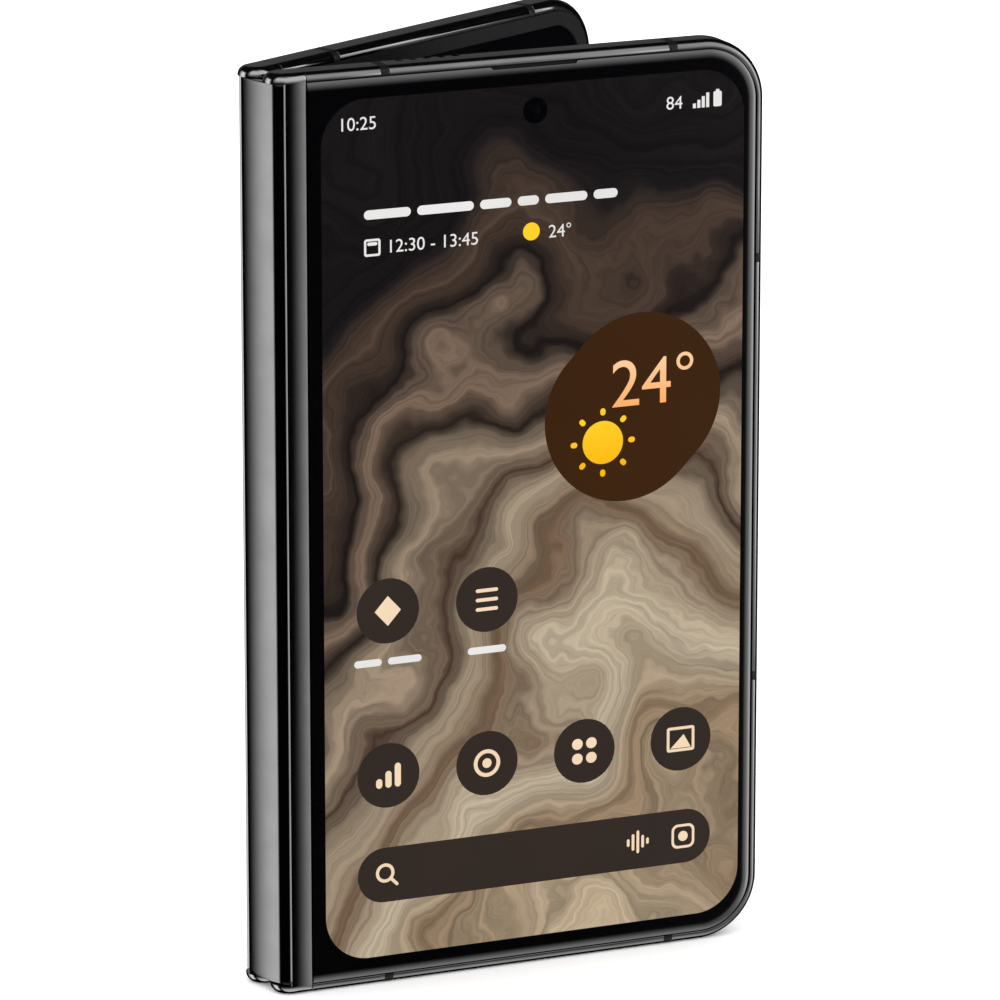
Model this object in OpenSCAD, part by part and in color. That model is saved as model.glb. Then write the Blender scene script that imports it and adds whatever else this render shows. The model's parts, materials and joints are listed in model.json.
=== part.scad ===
// Foldable smartphone: two halves on a two-axis geared hinge with a spine between them.
// It stands on its bottom edge, half open, as a book stands.
// The origin is on the front half's hinge axis, at the bottom face. +Z is up, +X runs along
// the front half to its free edge, and -Y is the way its cover display faces.

/* [Overall size] */
// Height of the phone, bottom edge to top edge
body_h = 139.7; // [132:0.1:150]
// Width of one half, from its hinge axis to its free edge
reach = 76.2; // [72:0.1:84]
// Thickness of one half
half_t = 5.8; // [5.8:0.1:6.6]
// Gap between the inner faces when folded
closed_gap = 0.5; // [0.4:0.05:1]
// Angle between the halves at rest, in degrees
rest_open = 28; // [20:1:60]

/* [Frame] */
// Radius of the outer corners
corner_r = 9.5; // [7:0.1:12]
// Rounding of the frame's long edges
edge_r = 1.2; // [1.1:0.05:1.3]
// Width of the frame's bars
band_w = 3; // [2.8:0.1:3.4]
// Thickness of the plate in the middle of each half
plate_t = 0.4; // [0.3:0.05:0.5]
// Width of the plastic antenna bands
antenna_w = 1.35; // [1:0.05:2]
// Distance from the hinge axis to the seam between rail and frame
seam_x = 2.9; // [2.8:0.05:3.2]

/* [Outer glass and display] */
// Thickness of the outer glass
glass_t = 0.7; // [0.5:0.05:0.8]
// How far the glass stands above the metal
glass_proud = 0.2; // [0.1:0.05:0.3]
// Distance from the frame's outer edge to the glass
glass_inset = 1.35; // [1.35:0.05:1.6]
// Thickness of the adhesive seal under the glass
seal_t = 0.15; // [0.1:0.05:0.2]
// Thickness of the cover display
display_t = 0.8; // [0.6:0.05:0.9]
// Dark border from the hinge axis to the cover display
border_hinge = 4.95; // [4.8:0.05:8]
// Dark border from the frame's outer edge to the cover display at the free side
border_free = 3.55; // [3.3:0.05:8]
// Dark border from the frame's outer edge to the cover display at the top and bottom
border_end = 4.4; // [3.3:0.05:8]
// Corner radius of the cover display
display_r = 7; // [4:0.5:9]
// Radius of the hole for the cover camera
punch_r = 2.1; // [1.6:0.1:2.4]
// Distance from the display's top edge to the middle of the cover camera
camera_drop = 3.9; // [3.5:0.1:8]
// Length of the earpiece slot
earpiece_l = 14; // [8:0.5:20]
// Width of the earpiece slot
earpiece_t = 0.42; // [0.3:0.02:0.6]

/* [Inner display] */
// Thickness of a rigid half of the inner display, with its support plate
panel_t = 1; // [0.8:0.05:1]
// Thickness of the flexible layer that crosses the fold
layer_t = 0.35; // [0.25:0.05:0.4]
// Distance from the hinge axis to the first rigid part of the display
layer_x = 5.85; // [5.6:0.05:6]
// How deep the display lies below the bezel's face
panel_recess = 0.3; // [0.2:0.05:0.4]
// Distance from the frame's outer edge to the inner bezel
bezel_inset = 1.5; // [1.4:0.05:1.8]
// Thickness of the inner bezel
bezel_t = 0.6; // [0.5:0.05:0.7]
// How far the bezel overlaps the display
bezel_lap = 0.9; // [0.5:0.1:2]

/* [Hinge] */
// Radius of the rounded sides of the spine
spine_r = 2.2; // [2.1:0.05:2.2]
// Wall thickness of the spine
spine_wall = 0.6; // [0.5:0.05:0.7]
// How far the spine's crowned middle turns before it meets a rounded side, in degrees
spine_turn = 10; // [4:1:10]
// Radius of the trough in each hinge rail
trough_r = 2.45; // [2.42:0.01:2.5]
// Where the rail's lip ends, past the hinge axis
lip_x = 0.65; // [0.4:0.05:0.7]
// Radius of the rail's slightly crowned outer face
rail_crown_r = 14; // [12:1:40]
// Thickness of the ears that close the ends of the hinge
ear_t = 1.4; // [1.2:0.05:1.5]
// How far the ears' round ends lie past the hinge axis
ear_shift = 0; // [0:0.05:0.3]
// Radius of the hinge shafts
shaft_r = 0.6; // [0.5:0.05:0.65]
// Running clearance of the shafts in the bearing blocks
running_gap = 0.03; // [0.02:0.01:0.08]
// Radius of the arm barrels and bearing bosses
barrel_r = 1.45; // [1.3:0.05:1.5]
// Length of an arm barrel
arm_l = 5; // [4:0.5:7]
// Length of a bearing block
block_l = 2; // [1.5:0.5:3]
// Thickness of the arms' mounting leaf
leaf_t = 0.6; // [0.5:0.05:0.65]
// Teeth on each timing gear
teeth = 12; // [12:2:12]
// Length of the timing gears
gear_l = 2; // [1:0.5:3]
// Thickness of the bridge plate behind the fold
bridge_t = 0.35; // [0.25:0.05:0.35]
// Width of the bridge plate
bridge_w = 4.4; // [3:0.1:4.4]
// Thickness of the wing plates
wing_t = 0.3; // [0.2:0.05:0.3]
// Length of the wing plates
wing_l = 2.45; // [2:0.05:2.5]

/* [Power] */
// Thickness of the batteries
battery_t = 2.4; // [1.8:0.1:2.5]
// Width of the front battery
front_battery_w = 54; // [40:1:58]
// Height of the front battery
front_battery_h = 80; // [60:1:82]
// Width of the rear battery
rear_battery_w = 50; // [40:1:58]
// Height of the rear battery
rear_battery_h = 66; // [50:1:68]
// Outer radius of the charging coil
coil_r = 21; // [15:0.5:22]

/* [Cameras] */
// Width of the camera island
island_w = 17; // [15:0.5:18]
// Length of the camera island
island_l = 46; // [44:0.5:50]
// How far the camera island stands out
island_t = 1.4; // [1:0.1:2]
// Radius of the camera windows
window_r = 5.4; // [4.5:0.1:5.6]
// Distance between the camera windows
window_pitch = 13; // [12:0.5:14]

/* [Controls and ports] */
// How far the side keys stand out
key_proud = 0.3; // [0.2:0.05:0.4]
// Travel of the side keys
key_travel = 0.25; // [0.15:0.05:0.3]
// Thickness of the side keys
key_t = 1.9; // [1.6:0.1:2]
// Length of the power key
power_l = 13; // [10:0.5:16]
// Length of the volume rocker
volume_l = 21; // [16:0.5:26]
// Width of the card tray
tray_w = 13.4; // [12:0.1:15]
// Thickness of the card tray's face
tray_t = 1.8; // [1.5:0.1:2]
// Width of the charging port's opening
port_w = 8.4; // [8:0.1:9]
// Height of the charging port's opening
port_t = 2.6; // [2.4:0.05:2.7]

/* [Hidden] */
$fn = 48;

// Clearances
fit_gap = 0.05;
seat_gap = 0.02;
slide_gap = 0.1;
part_gap = 0.3;

// The hinge: two parallel axes, one for each half
axis_gap = half_t + closed_gap;
half_open = rest_open / 2;

// Levels through one half, measured outwards from its middle
z_face = half_t / 2;
z_metal = z_face - glass_proud;
z_glass = z_face - glass_t;
z_seat = z_glass - seal_t;
z_display = z_glass - display_t;
z_bezel = bezel_t - z_face;
z_panel = panel_recess - z_face;
z_layer = z_panel + layer_t;
z_plate = z_panel + panel_t;
z_floor = z_plate + plate_t;

// The cover display and its camera
display_end = reach - border_free;
camera_x = (border_hinge + display_end) / 2;
camera_y = body_h - border_end - camera_drop;
mesh_drop = 0.35;

// The sound slots in the top edge and beside the port
slot_count = 5;
slot_pitch = 2.25;
slot_w = 1.2;
slot_x = 18.2;
slot_z0 = -1.5;
slot_z1 = -0.6;
speaker_l = 8;
speaker_over = 3;
speaker_z = 0.9;

// Antenna bands, as distances from the hinge axis and up from the bottom edge
antenna_x = [15.2, 61.2];
antenna_y = [41, body_h - 33.7];

// Hinge stations
station_count = 3;
station_l = 2 * block_l + arm_l + 1.3;
stations = [for (i = [0:station_count - 1]) body_h * (0.12 + 0.345 * i) - station_l / 2];
gear_station = stations[1];
arm_start = block_l + slide_gap;
spring_start = arm_start + arm_l + fit_gap;
block_two = station_l - block_l;
spring_l = block_two - spring_start;
gear_start = station_l + slide_gap;
block_three = gear_start + gear_l + slide_gap;
shaft_over = 0.3;
web_x = 4.6;
leaf_x = 4.4;
leaf_gap = 0.1;
block_x = 1.9;
screw_r = 0.26;
screw_head_r = 0.5;
spine_end = ear_t + slide_gap;

// Timing gears: four equal gears in line between the two axes
pitch_r = axis_gap / 6;
gear_module = 2 * pitch_r / teeth;
gear_tip_r = pitch_r + 0.75 * gear_module;
gear_root_r = pitch_r - 1.15 * gear_module;
idler_pin_r = 0.35;

// The flexible layer at rest, in the spine's own frame
fold_x = block_x + bridge_t + layer_t;
belly_x = fold_x + 0.28;
belly_y = axis_gap / 2 - 2.6;
function turned(p, a) = [p.x * cos(a) - p.y * sin(a), p.x * sin(a) + p.y * cos(a)];
fold_start = turned([layer_x, -z_panel], -half_open);
fold_start_outer = turned([layer_x, -z_layer], -half_open);
function mirrored(p) = [p.x, axis_gap - p.y];
fold_y0 = band_w + 0.2;

// The wing plates tilt about a bead beside the display's rigid part
wing_end = turned([belly_x, belly_y], half_open);
wing_tilt = atan2(-z_panel - wing_end.y, layer_x - wing_end.x);
wing_along = [-cos(wing_tilt), -sin(wing_tilt)];
wing_up = [-sin(wing_tilt), cos(wing_tilt)];
wing_start = [layer_x, -z_panel] - (layer_t + fit_gap) * wing_up;
wing_pivot = [layer_x + 0.25, -z_panel - 0.85];
wing_bead_r = 0.25;

// Inside each half
battery_x = 10;
battery_y = 12;
board_gap = 2;
board_t = 0.7;
chip_gap = 3;
chip_t = 1;
shield_gap = 2;
shield_t = 1.2;
magnet_end = 30;
magnet_l = 14;
magnet_w = 2.4;

// Places of the controls and ports
power_y = body_h - 77.7;
volume_y = power_y + power_l + 5;
key_depth = band_w + 0.6;
tray_x = 22;
tray_l = 11;
front_battery_y = ear_t + tray_l + 1 + 2 * part_gap;
port_x = 34;
speaker_slots = 5;
speaker_x = 46;
island_x = reach - 16.5;
island_y = body_h - 9 - island_l;
windows_y = [for (i = [-1:1]) island_y + island_l / 2 + i * window_pitch];
flash_r = 1.5;
flash_x = island_x - island_w / 2 + flash_r + 1.3;
flash_y = (windows_y[1] + windows_y[2]) / 2;
lens_block = 12;
board_x1 = island_x - lens_block / 2 - part_gap;
board_y0 = battery_y + rear_battery_h + board_gap;
board_y1 = body_h - band_w - 1;
inner_camera_x = reach - 16;
inner_camera_y = body_h - 10.5;
inner_camera_r = 1.9;
tray_face = 1.4;
tray_blade = 0.8;
tray_lip = 1.2;
port_wall = 0.35;
port_depth = 6.5;
port_body = 5.5;
port_top = 1.5;
key_stem = 2;
key_stem_t = 0.9;
switch_t = 1;
motor_l = 14;
motor_w = 5;
motor_z = 1.2;
coil_t = 0.4;
lens_z = 1.5;

// Turn a half's own frame (x from the axis, y up, z outwards) into the standing frame
module place_front() rotate([90, 0, 0]) children();
module place_spine() rotate([0, 0, half_open]) children();
module place_rear() {
    place_spine()
        translate([0, axis_gap, 0])
            rotate([0, 0, half_open])
                mirror([0, 1, 0])
                    rotate([90, 0, 0])
                        children();
}

// A section drawn in x and z, carried along the height from y0 to y1
module along_height(y0, y1) {
    translate([0, y1, 0]) rotate([90, 0, 0]) linear_extrude(y1 - y0) children();
}

// A plate drawn in x and y, from level z0 up to z1
module level(z0, z1) {
    translate([0, 0, z0]) linear_extrude(z1 - z0) children();
}

// A rectangle between two corners
module area(x0, x1, y0, y1) {
    translate([x0, y0]) square([x1 - x0, y1 - y0]);
}

// A box between two corners
module block(x0, x1, y0, y1, z0, z1) {
    translate([x0, y0, z0]) cube([x1 - x0, y1 - y0, z1 - z0]);
}

// A rectangle with four round corners
module rounded(x0, x1, y0, y1, r) {
    area(x0 + r, x1 - r, y0, y1);
    area(x0, x1, y0 + r, y1 - r);
    for (x = [x0 + r, x1 - r], y = [y0 + r, y1 - r]) translate([x, y]) circle(r);
}

// A rectangle with round corners on the free side only
module half_rounded(x0, x1, y0, y1, r) {
    area(x0, x1 - r, y0, y1);
    area(x0, x1, y0 + r, y1 - r);
    for (y = [y0 + r, y1 - r]) translate([x1 - r, y]) circle(r);
}

// The same outline drawn in from the frame's outer edge
module inset_outline(x0, inset) {
    half_rounded(x0, reach - inset, inset, body_h - inset, corner_r - inset);
}

// Section of the frame's bar: x is the distance in from the outer edge
module bar_section() {
    difference() {
        union() {
            area(edge_r, band_w, -z_metal, z_metal);
            area(0, edge_r, edge_r - z_metal, z_metal - edge_r);
            for (s = [-1, 1]) translate([edge_r, s * (z_metal - edge_r)]) circle(edge_r);
        }
        area(glass_inset, band_w + 1, z_seat, half_t);
        area(bezel_inset, band_w + 1, -half_t, z_bezel);
    }
}

// The bars along the top, the free edge and the bottom, with the two round corners
module bars() {
    straight = reach - corner_r - seam_x;
    translate([reach - corner_r, body_h, 0])
        rotate([90, 0, -90]) linear_extrude(straight) bar_section();
    translate([seam_x, 0, 0]) rotate([90, 0, 90]) linear_extrude(straight) bar_section();
    translate([reach, corner_r, 0])
        rotate([90, 0, 180]) linear_extrude(body_h - 2 * corner_r) bar_section();
    for (end = [[corner_r, -90], [body_h - corner_r, 0]])
        translate([reach - corner_r, end[0], 0])
            rotate([0, 0, end[1]])
                rotate_extrude(angle = 90)
                    translate([corner_r, 0]) mirror([1, 0]) bar_section();
}

// The slots that the antenna bands fill
module antenna_slots() {
    w = antenna_w / 2;
    for (x = antenna_x) {
        block(x - w, x + w, body_h - glass_inset, body_h + 1, -half_t, half_t);
        block(x - w, x + w, -1, glass_inset, -half_t, half_t);
    }
    for (y = antenna_y) block(reach - glass_inset, reach + 1, y - w, y + w, -half_t, half_t);
}

module frame_body() {
    difference() {
        bars();
        antenna_slots();
    }
    level(z_plate, z_floor) inset_outline(wing_pivot.x + wing_bead_r + 0.15, band_w);
}

module antenna_bands() {
    intersection() {
        bars();
        antenna_slots();
    }
}

// The row of sound slots through a bar, near its inner edge
module sound_slots(x0, count, y0, y1) {
    for (i = [0:count - 1])
        block(x0 + i * slot_pitch, x0 + i * slot_pitch + slot_w, y0, y1, slot_z0, slot_z1);
}

// A hinge rail: lip and trough, web under the glass, and a round ear at each end
module hinge_rail() {
    chamfer = 0.15;
    crown_x = (seam_x - lip_x) / 2;
    lip_z = z_metal - rail_crown_r + sqrt(pow(rail_crown_r, 2) - pow(crown_x + lip_x, 2));
    difference() {
        union() {
            along_height(ear_t, body_h - ear_t) intersection() {
                polygon([
                    [-lip_x, -leaf_gap], [-lip_x, lip_z - chamfer], [chamfer - lip_x, lip_z],
                    [0, z_metal], [seam_x, z_metal], [seam_x, -leaf_gap],
                ]);
                translate([crown_x, z_metal - rail_crown_r]) circle(rail_crown_r, $fn = 96);
            }
            along_height(band_w, body_h - band_w) area(seam_x, web_x, -leaf_gap, z_seat);
        }
        along_height(ear_t, body_h - ear_t) circle(trough_r, $fn = 96);
    }
    for (end = [[0, -90], [body_h, 90]])
        translate([-ear_shift, end[0], 0])
            rotate([end[1], 0, 0])
                rotate([0, 0, 90]) rotate_extrude(angle = 180) ear_profile();
    translate([-ear_shift, 0, 0])
        rotate([90, 0, 90]) linear_extrude(seam_x + ear_shift) ear_section();
    translate([seam_x, body_h, 0])
        rotate([90, 0, -90]) linear_extrude(seam_x + ear_shift) ear_section();
}

// Half of the ear's section, from its middle out
module ear_profile() {
    intersection() {
        area(0, z_metal, 0, ear_t);
        union() {
            area(0, z_metal - edge_r, 0, ear_t);
            area(0, z_metal, edge_r, ear_t);
            translate([z_metal - edge_r, edge_r]) circle(edge_r);
        }
    }
}

module ear_section() {
    intersection() {
        bar_section();
        area(0, ear_t, -half_t, half_t);
    }
}

// Screw positions of the arms: one row of two in each leaf
module at_arm_screws() {
    for (s = stations, k = [0.25, 0.75])
        translate([3.5, s + arm_start + k * arm_l, 0]) children();
}

module hinge_arms() {
    difference() {
        for (s = stations)
            along_height(s + arm_start, s + arm_start + arm_l) difference() {
                union() {
                    circle(barrel_r);
                    area(0, leaf_x, -leaf_gap - leaf_t, -leaf_gap);
                }
                circle(shaft_r + 0.01);
            }
        at_arm_screws() translate([0, 0, -2]) cylinder(r = screw_r + 0.04, h = 2);
        at_arm_screws() translate([0, 0, -2]) cylinder(r = screw_head_r + 0.04, h = 1.55);
    }
}

module arm_screws() {
    top = -leaf_gap - leaf_t;
    at_arm_screws() {
        translate([0, 0, -0.45]) cylinder(r = screw_r, h = 1.25);
        translate([0, 0, top + 0.02]) cylinder(r = screw_head_r, h = -0.45 - top - 0.02);
    }
}

// Shafts, drawn upright on the spine's own frame
module shafts() {
    for (s = stations) {
        top = s == gear_station ? block_three + block_l : station_l;
        translate([0, 0, s - shaft_over])
            cylinder(r = shaft_r, h = top + 2 * shaft_over);
    }
}

function ring_point(r, a) = [r * cos(a), r * sin(a)];

// A timing gear with straight-flanked teeth; phase 0 puts a tooth on +Y
module gear(phase, bore_r) {
    step = 360 / teeth;
    root = 7.2;
    mid = 5.6;
    tip = 2.9;
    difference() {
        linear_extrude(gear_l)
            polygon([
                for (i = [0:teeth - 1], c = [
                    [gear_root_r, -root], [pitch_r, -mid], [gear_tip_r, -tip],
                    [gear_tip_r, tip], [pitch_r, mid], [gear_root_r, root],
                ]) ring_point(c[0], 90 + (i + phase) * step + c[1])
            ]);
        if (bore_r > 0) translate([0, 0, -1]) cylinder(r = bore_r, h = gear_l + 2);
    }
}

module idler(y, phase) {
    pin_l = block_l + gear_l + 2 * slide_gap + block_l;
    translate([0, y, gear_station + gear_start]) gear(phase, 0);
    translate([0, y, gear_station + block_two]) cylinder(r = idler_pin_r, h = pin_l);
}

// A wing plate at its tilt at rest, with its bead
module wing_plate() {
    a = wing_start;
    b = a + wing_l * wing_along;
    down = -wing_t * wing_up;
    mirror([0, 0, 1]) along_height(fold_y0 + 0.1, body_h - fold_y0 - 0.1) {
        polygon([a, b, b + down, a + down]);
        translate(wing_pivot) circle(wing_bead_r);
    }
}

module inner_bezel() {
    level(-z_face, z_bezel) difference() {
        inset_outline(seam_x, bezel_inset + fit_gap);
        inset_outline(0, band_w);
    }
    level(-z_face, z_panel) difference() {
        inset_outline(layer_x, band_w);
        inset_outline(0, band_w + bezel_lap);
    }
}

module inner_display(hole_r) {
    difference() {
        union() {
            level(z_panel, z_layer) inset_outline(layer_x, band_w + fit_gap);
            level(z_layer, z_plate)
                inset_outline(wing_pivot.x + wing_bead_r + 0.25, band_w + fit_gap);
        }
        if (hole_r > 0)
            translate([inner_camera_x, inner_camera_y, -half_t])
                cylinder(r = hole_r, h = half_t);
    }
}

module magnets() {
    for (y = [magnet_end, body_h - magnet_end / 2 - magnet_l])
        block(reach - band_w - magnet_w, reach - band_w - slide_gap, y, y + magnet_l,
            z_floor, z_floor + battery_t - slide_gap);
}

module outer_seal() {
    level(z_seat, z_glass) difference() {
        inset_outline(seam_x + slide_gap, glass_inset + slide_gap);
        inset_outline(web_x - 0.3, band_w - slide_gap);
    }
}

// Front half
module front_frame() color("dimgray") place_front() difference() {
    frame_body();
    sound_slots(slot_x, slot_count, body_h - band_w - 1, body_h + 1);
    // Opening for the card tray, wider inside than the face needs
    block(tray_x - slide_gap, tray_x + tray_w + slide_gap, -1, band_w + 1,
        -tray_t / 2 - slide_gap, tray_t / 2 + slide_gap);
}

module front_hinge_rail() color("gray") place_front() difference() {
    hinge_rail();
    at_arm_screws() translate([0, 0, -1]) cylinder(r = screw_r + 0.02, h = 2);
}

module front_antenna_bands() color("black") place_front() antenna_bands();

module cover_glass() color("black") place_front() level(z_glass, z_face) difference() {
    inset_outline(seam_x + fit_gap, glass_inset + fit_gap);
    translate([camera_x, body_h - glass_inset - fit_gap]) polygon([
        [-earpiece_l / 2, 1], [-earpiece_l / 2, 0], [earpiece_t - earpiece_l / 2, -earpiece_t],
        [earpiece_l / 2 - earpiece_t, -earpiece_t], [earpiece_l / 2, 0], [earpiece_l / 2, 1],
    ]);
}

module cover_seal() color("darkslategray") place_front() outer_seal();

module cover_display() {
    color("saddlebrown") place_front() level(z_display, z_glass) difference() {
        rounded(border_hinge, display_end, border_end, body_h - border_end, display_r);
        translate([camera_x, camera_y]) circle(punch_r);
    }
}

module cover_camera() color("black") place_front() {
    translate([camera_x, camera_y, 1]) cylinder(r = punch_r - 0.2, h = z_glass - 1);
    block(camera_x - 3, camera_x + 3, camera_y - 3, camera_y + 3, z_floor, 1);
}

module earpiece_grille() {
    color("gray") place_front()
        block(camera_x - earpiece_l / 2 + earpiece_t + fit_gap,
            camera_x + earpiece_l / 2 - earpiece_t - fit_gap,
            body_h - glass_inset - earpiece_t, body_h - glass_inset - fit_gap,
            z_glass, z_face - mesh_drop);
}

module top_speaker() color("black") place_front() {
    block(slot_x - speaker_over, slot_x + slot_count * slot_pitch + speaker_over,
        body_h - band_w - speaker_l, body_h - band_w, z_floor, speaker_z);
}

module front_battery() color("silver") place_front() level(z_floor, z_floor + battery_t) {
    rounded(battery_x, battery_x + front_battery_w, front_battery_y,
        front_battery_y + front_battery_h, 2);
}

module front_board() {
    y0 = front_battery_y + front_battery_h + board_gap;
    y1 = body_h - band_w - speaker_l - board_gap;
    chip_w = (front_battery_w - 4 * chip_gap) / 3;
    color("seagreen") place_front() {
        block(battery_x, battery_x + front_battery_w, y0, y1, z_floor, z_floor + board_t);
        for (i = [0:2]) translate([battery_x + chip_gap + i * (chip_w + chip_gap), 0, 0])
            block(0, chip_w, y0 + chip_gap, y1 - chip_gap,
                z_floor + board_t, z_floor + board_t + chip_t);
    }
}

module front_bezel() color("black") place_front() inner_bezel();
module inner_display_front() color("midnightblue") place_front() inner_display(0);
module front_hinge_arms() color("lightsteelblue") place_front() hinge_arms();
module front_shafts() color("silver") shafts();

module front_gear() {
    color("gold") place_spine() translate([0, 0, gear_station + gear_start])
        gear(0, shaft_r + 0.01);
}

module front_screws() color("silver") place_front() arm_screws();

module sim_tray() color("dimgray") place_front() {
    block(tray_x, tray_x + tray_w, slide_gap, tray_face, -tray_t / 2, tray_t / 2);
    difference() {
        block(tray_x + 0.4, tray_x + tray_w - 0.4, tray_face, tray_face + tray_l,
            -tray_blade / 2, tray_blade / 2);
        block(tray_x + tray_lip, tray_x + tray_w - tray_lip, tray_face + tray_lip,
            tray_face + tray_l - tray_lip, -0.1, 1);
    }
}

module sim_reader() {
    wall = 0.8;
    tray_end = tray_face + tray_l;
    clear = tray_blade / 2 + slide_gap;
    color("silver") place_front() difference() {
        block(tray_x - wall, tray_x + tray_w + wall, band_w, tray_end + 1, z_floor, 0.9);
        block(tray_x + 0.3, tray_x + tray_w - 0.3, 0, tray_end + 0.2, -clear, clear);
    }
}

module front_magnets() color("silver") place_front() magnets();
module front_wing() color("slategray") place_front() wing_plate();

// Spine and hinge
function arc(c, r, a0, a1, n) = [for (i = [0:n]) c + ring_point(r, a0 + (a1 - a0) * i / n)];

// Outline of the spine, drawn in by a distance: two round sides and a crowned middle
function spine_points(inset) = let (
        r = spine_r - inset,
        from_axis = axis_gap / 2 / sin(spine_turn),
        last = 90 + asin(fit_gap / r)
    ) concat(
        arc([0, 0], r, 360 - last, 180 + spine_turn, 24),
        arc([from_axis * cos(spine_turn), axis_gap / 2], from_axis + r,
            180 + spine_turn, 180 - spine_turn, 24),
        arc([0, axis_gap], r, 180 - spine_turn, last, 24)
    );

module spine_cover() color("dimgray") place_spine() {
    translate([0, 0, spine_end]) linear_extrude(body_h - 2 * spine_end) difference() {
        polygon(spine_points(0));
        polygon(concat(spine_points(spine_wall), [[1, axis_gap + spine_r], [1, -spine_r]]));
    }
    for (z = [spine_end, body_h - spine_end - spine_wall])
        translate([0, 0, z]) linear_extrude(spine_wall) polygon(spine_points(0));
}

module spine_bridge() color("silver") place_spine() difference() {
    block(block_x, block_x + bridge_t, axis_gap / 2 - bridge_w / 2, axis_gap / 2 + bridge_w / 2,
        fold_y0, body_h - fold_y0);
    at_spine_screws() translate([0, 0, -1]) cylinder(r = screw_head_r + 0.04, h = 2);
}

// One screw through each of a station's two blocks, seen along the spine's x axis
module at_spine_screws() {
    for (s = stations, z = [block_l / 2, block_two + block_l / 2])
        translate([block_x, axis_gap / 2, s + z]) rotate([0, 90, 0]) children();
}

module spine_screws() color("silver") place_spine() at_spine_screws() {
    cylinder(r = screw_head_r, h = bridge_t - 0.05);
    translate([0, 0, -1.2]) cylinder(r = screw_r, h = 1.2);
}

module bearing_blocks() color("lightsteelblue") place_spine() difference() {
    union() {
        for (s = stations, z = [0, block_two]) bearing_block(s + z);
        bearing_block(gear_station + block_three);
    }
    at_spine_screws() translate([0, 0, -1.25]) cylinder(r = screw_r + 0.02, h = 2);
    for (i = [1, 2]) translate([0, 2 * i * pitch_r, gear_station + block_two - 1])
        cylinder(r = idler_pin_r + running_gap, h = block_three + block_l - block_two + 2);
}

module bearing_block(z) {
    translate([0, 0, z]) linear_extrude(block_l) difference() {
        union() {
            for (y = [0, axis_gap]) translate([0, y]) circle(barrel_r);
            area(-1, block_x, 0, axis_gap);
            intersection() {
                area(-spine_r, 0, 0, axis_gap);
                polygon(spine_points(spine_wall + seat_gap));
            }
        }
        for (y = [0, axis_gap]) translate([0, y]) circle(shaft_r + running_gap);
    }
}

module friction_springs() {
    leaf = spring_l / 3;
    color("goldenrod") place_spine()
        for (s = stations, y = [0, axis_gap]) translate([0, y, s + spring_start])
            difference() {
                union() {
                    cylinder(r = barrel_r - 0.25, h = spring_l);
                    for (i = [0, 2])
                        translate([0, 0, i * leaf]) cylinder(r = barrel_r - 0.1, h = leaf);
                }
                translate([0, 0, -1]) cylinder(r = shaft_r + fit_gap, h = spring_l + 2);
            }
}

module front_idler() color("gold") place_spine() idler(2 * pitch_r, 0.5);
module rear_idler() color("gold") place_spine() idler(4 * pitch_r, 0);

// Corner of a bent strip pushed out by its thickness
function strip_normal(a, b) = [b.y - a.y, a.x - b.x] / norm(b - a);
function pushed(b, n1, n2, t) = b + t * (n1 + n2) / (1 + n1 * n2);

module fold_display() {
    p = fold_start;
    m = [belly_x, belly_y];
    q = [fold_x, axis_gap / 2];
    n1 = -strip_normal(p, m);
    n2 = -strip_normal(m, q);
    outer = [fold_start_outer, pushed(m, n1, n2, layer_t), q - [layer_t, 0]];
    inner = [p, m, q];
    color("midnightblue") place_spine()
        translate([0, 0, fold_y0]) linear_extrude(body_h - 2 * fold_y0) polygon(concat(
            inner,
            [mirrored(m), mirrored(p)],
            [mirrored(outer[0]), mirrored(outer[1])],
            [outer[2], outer[1], outer[0]]
        ));
}

module hinge_flex() color("orange") place_spine() for (i = [0, 1]) {
    z0 = stations[i] + (i == 1 ? block_three + block_l : station_l) + 1;
    block(spine_wall - spine_r - seat_gap, spine_wall - spine_r + 0.2, 0.8, axis_gap - 0.8,
        z0, stations[i + 1] - 1);
}

// Rear half
module rear_frame() color("dimgray") place_rear() difference() {
    frame_body();
    for (k = keys()) key_opening(k[0], k[1]);
    translate([port_x, 0, 0]) port_outline(port_w / 2 + 0.4, port_t / 2 + 0.2, -1, 4);
    sound_slots(speaker_x, speaker_slots, -1, band_w + 1);
}

function keys() = [[power_y, power_l], [volume_y, volume_l]];

module key_opening(y, l) {
    block(reach - 1.2, reach + 1, y - slide_gap, y + l + slide_gap,
        -key_t / 2 - slide_gap, key_t / 2 + slide_gap);
    block(reach - band_w - 1, reach - 1.1, y + 1, y + l - 1, -0.6, 0.6);
}

// A key: a proud cap with a stem through the bar
module side_key(y, l) {
    color("gray") place_rear() {
        block(reach - 0.9 + key_travel - 0.2, reach + key_proud, y, y + l,
            -key_t / 2, key_t / 2);
        for (e = [y + 1.4, y + l - 1.4 - key_stem])
            block(reach - key_depth, reach - 0.8 + key_travel - 0.2, e, e + key_stem,
                -key_stem_t / 2, key_stem_t / 2);
    }
}

// A slot-shaped tube or plug, across the bottom bar
module port_outline(w, t, y0, y1) {
    along_height(y0, y1) {
        area(t - w, w - t, -t, t);
        for (s = [-1, 1]) translate([s * (w - t), 0]) circle(t);
    }
}

module rear_hinge_rail() color("gray") place_rear() difference() {
    hinge_rail();
    at_arm_screws() translate([0, 0, -1]) cylinder(r = screw_r + 0.02, h = 2);
}

module rear_antenna_bands() color("black") place_rear() antenna_bands();

module back_glass() color("black") place_rear() difference() {
    level(z_seat, z_face) inset_outline(seam_x + fit_gap, glass_inset + fit_gap);
    for (y = windows_y) translate([island_x, y, 0]) cylinder(r = window_r - 0.4, h = half_t);
}

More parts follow.
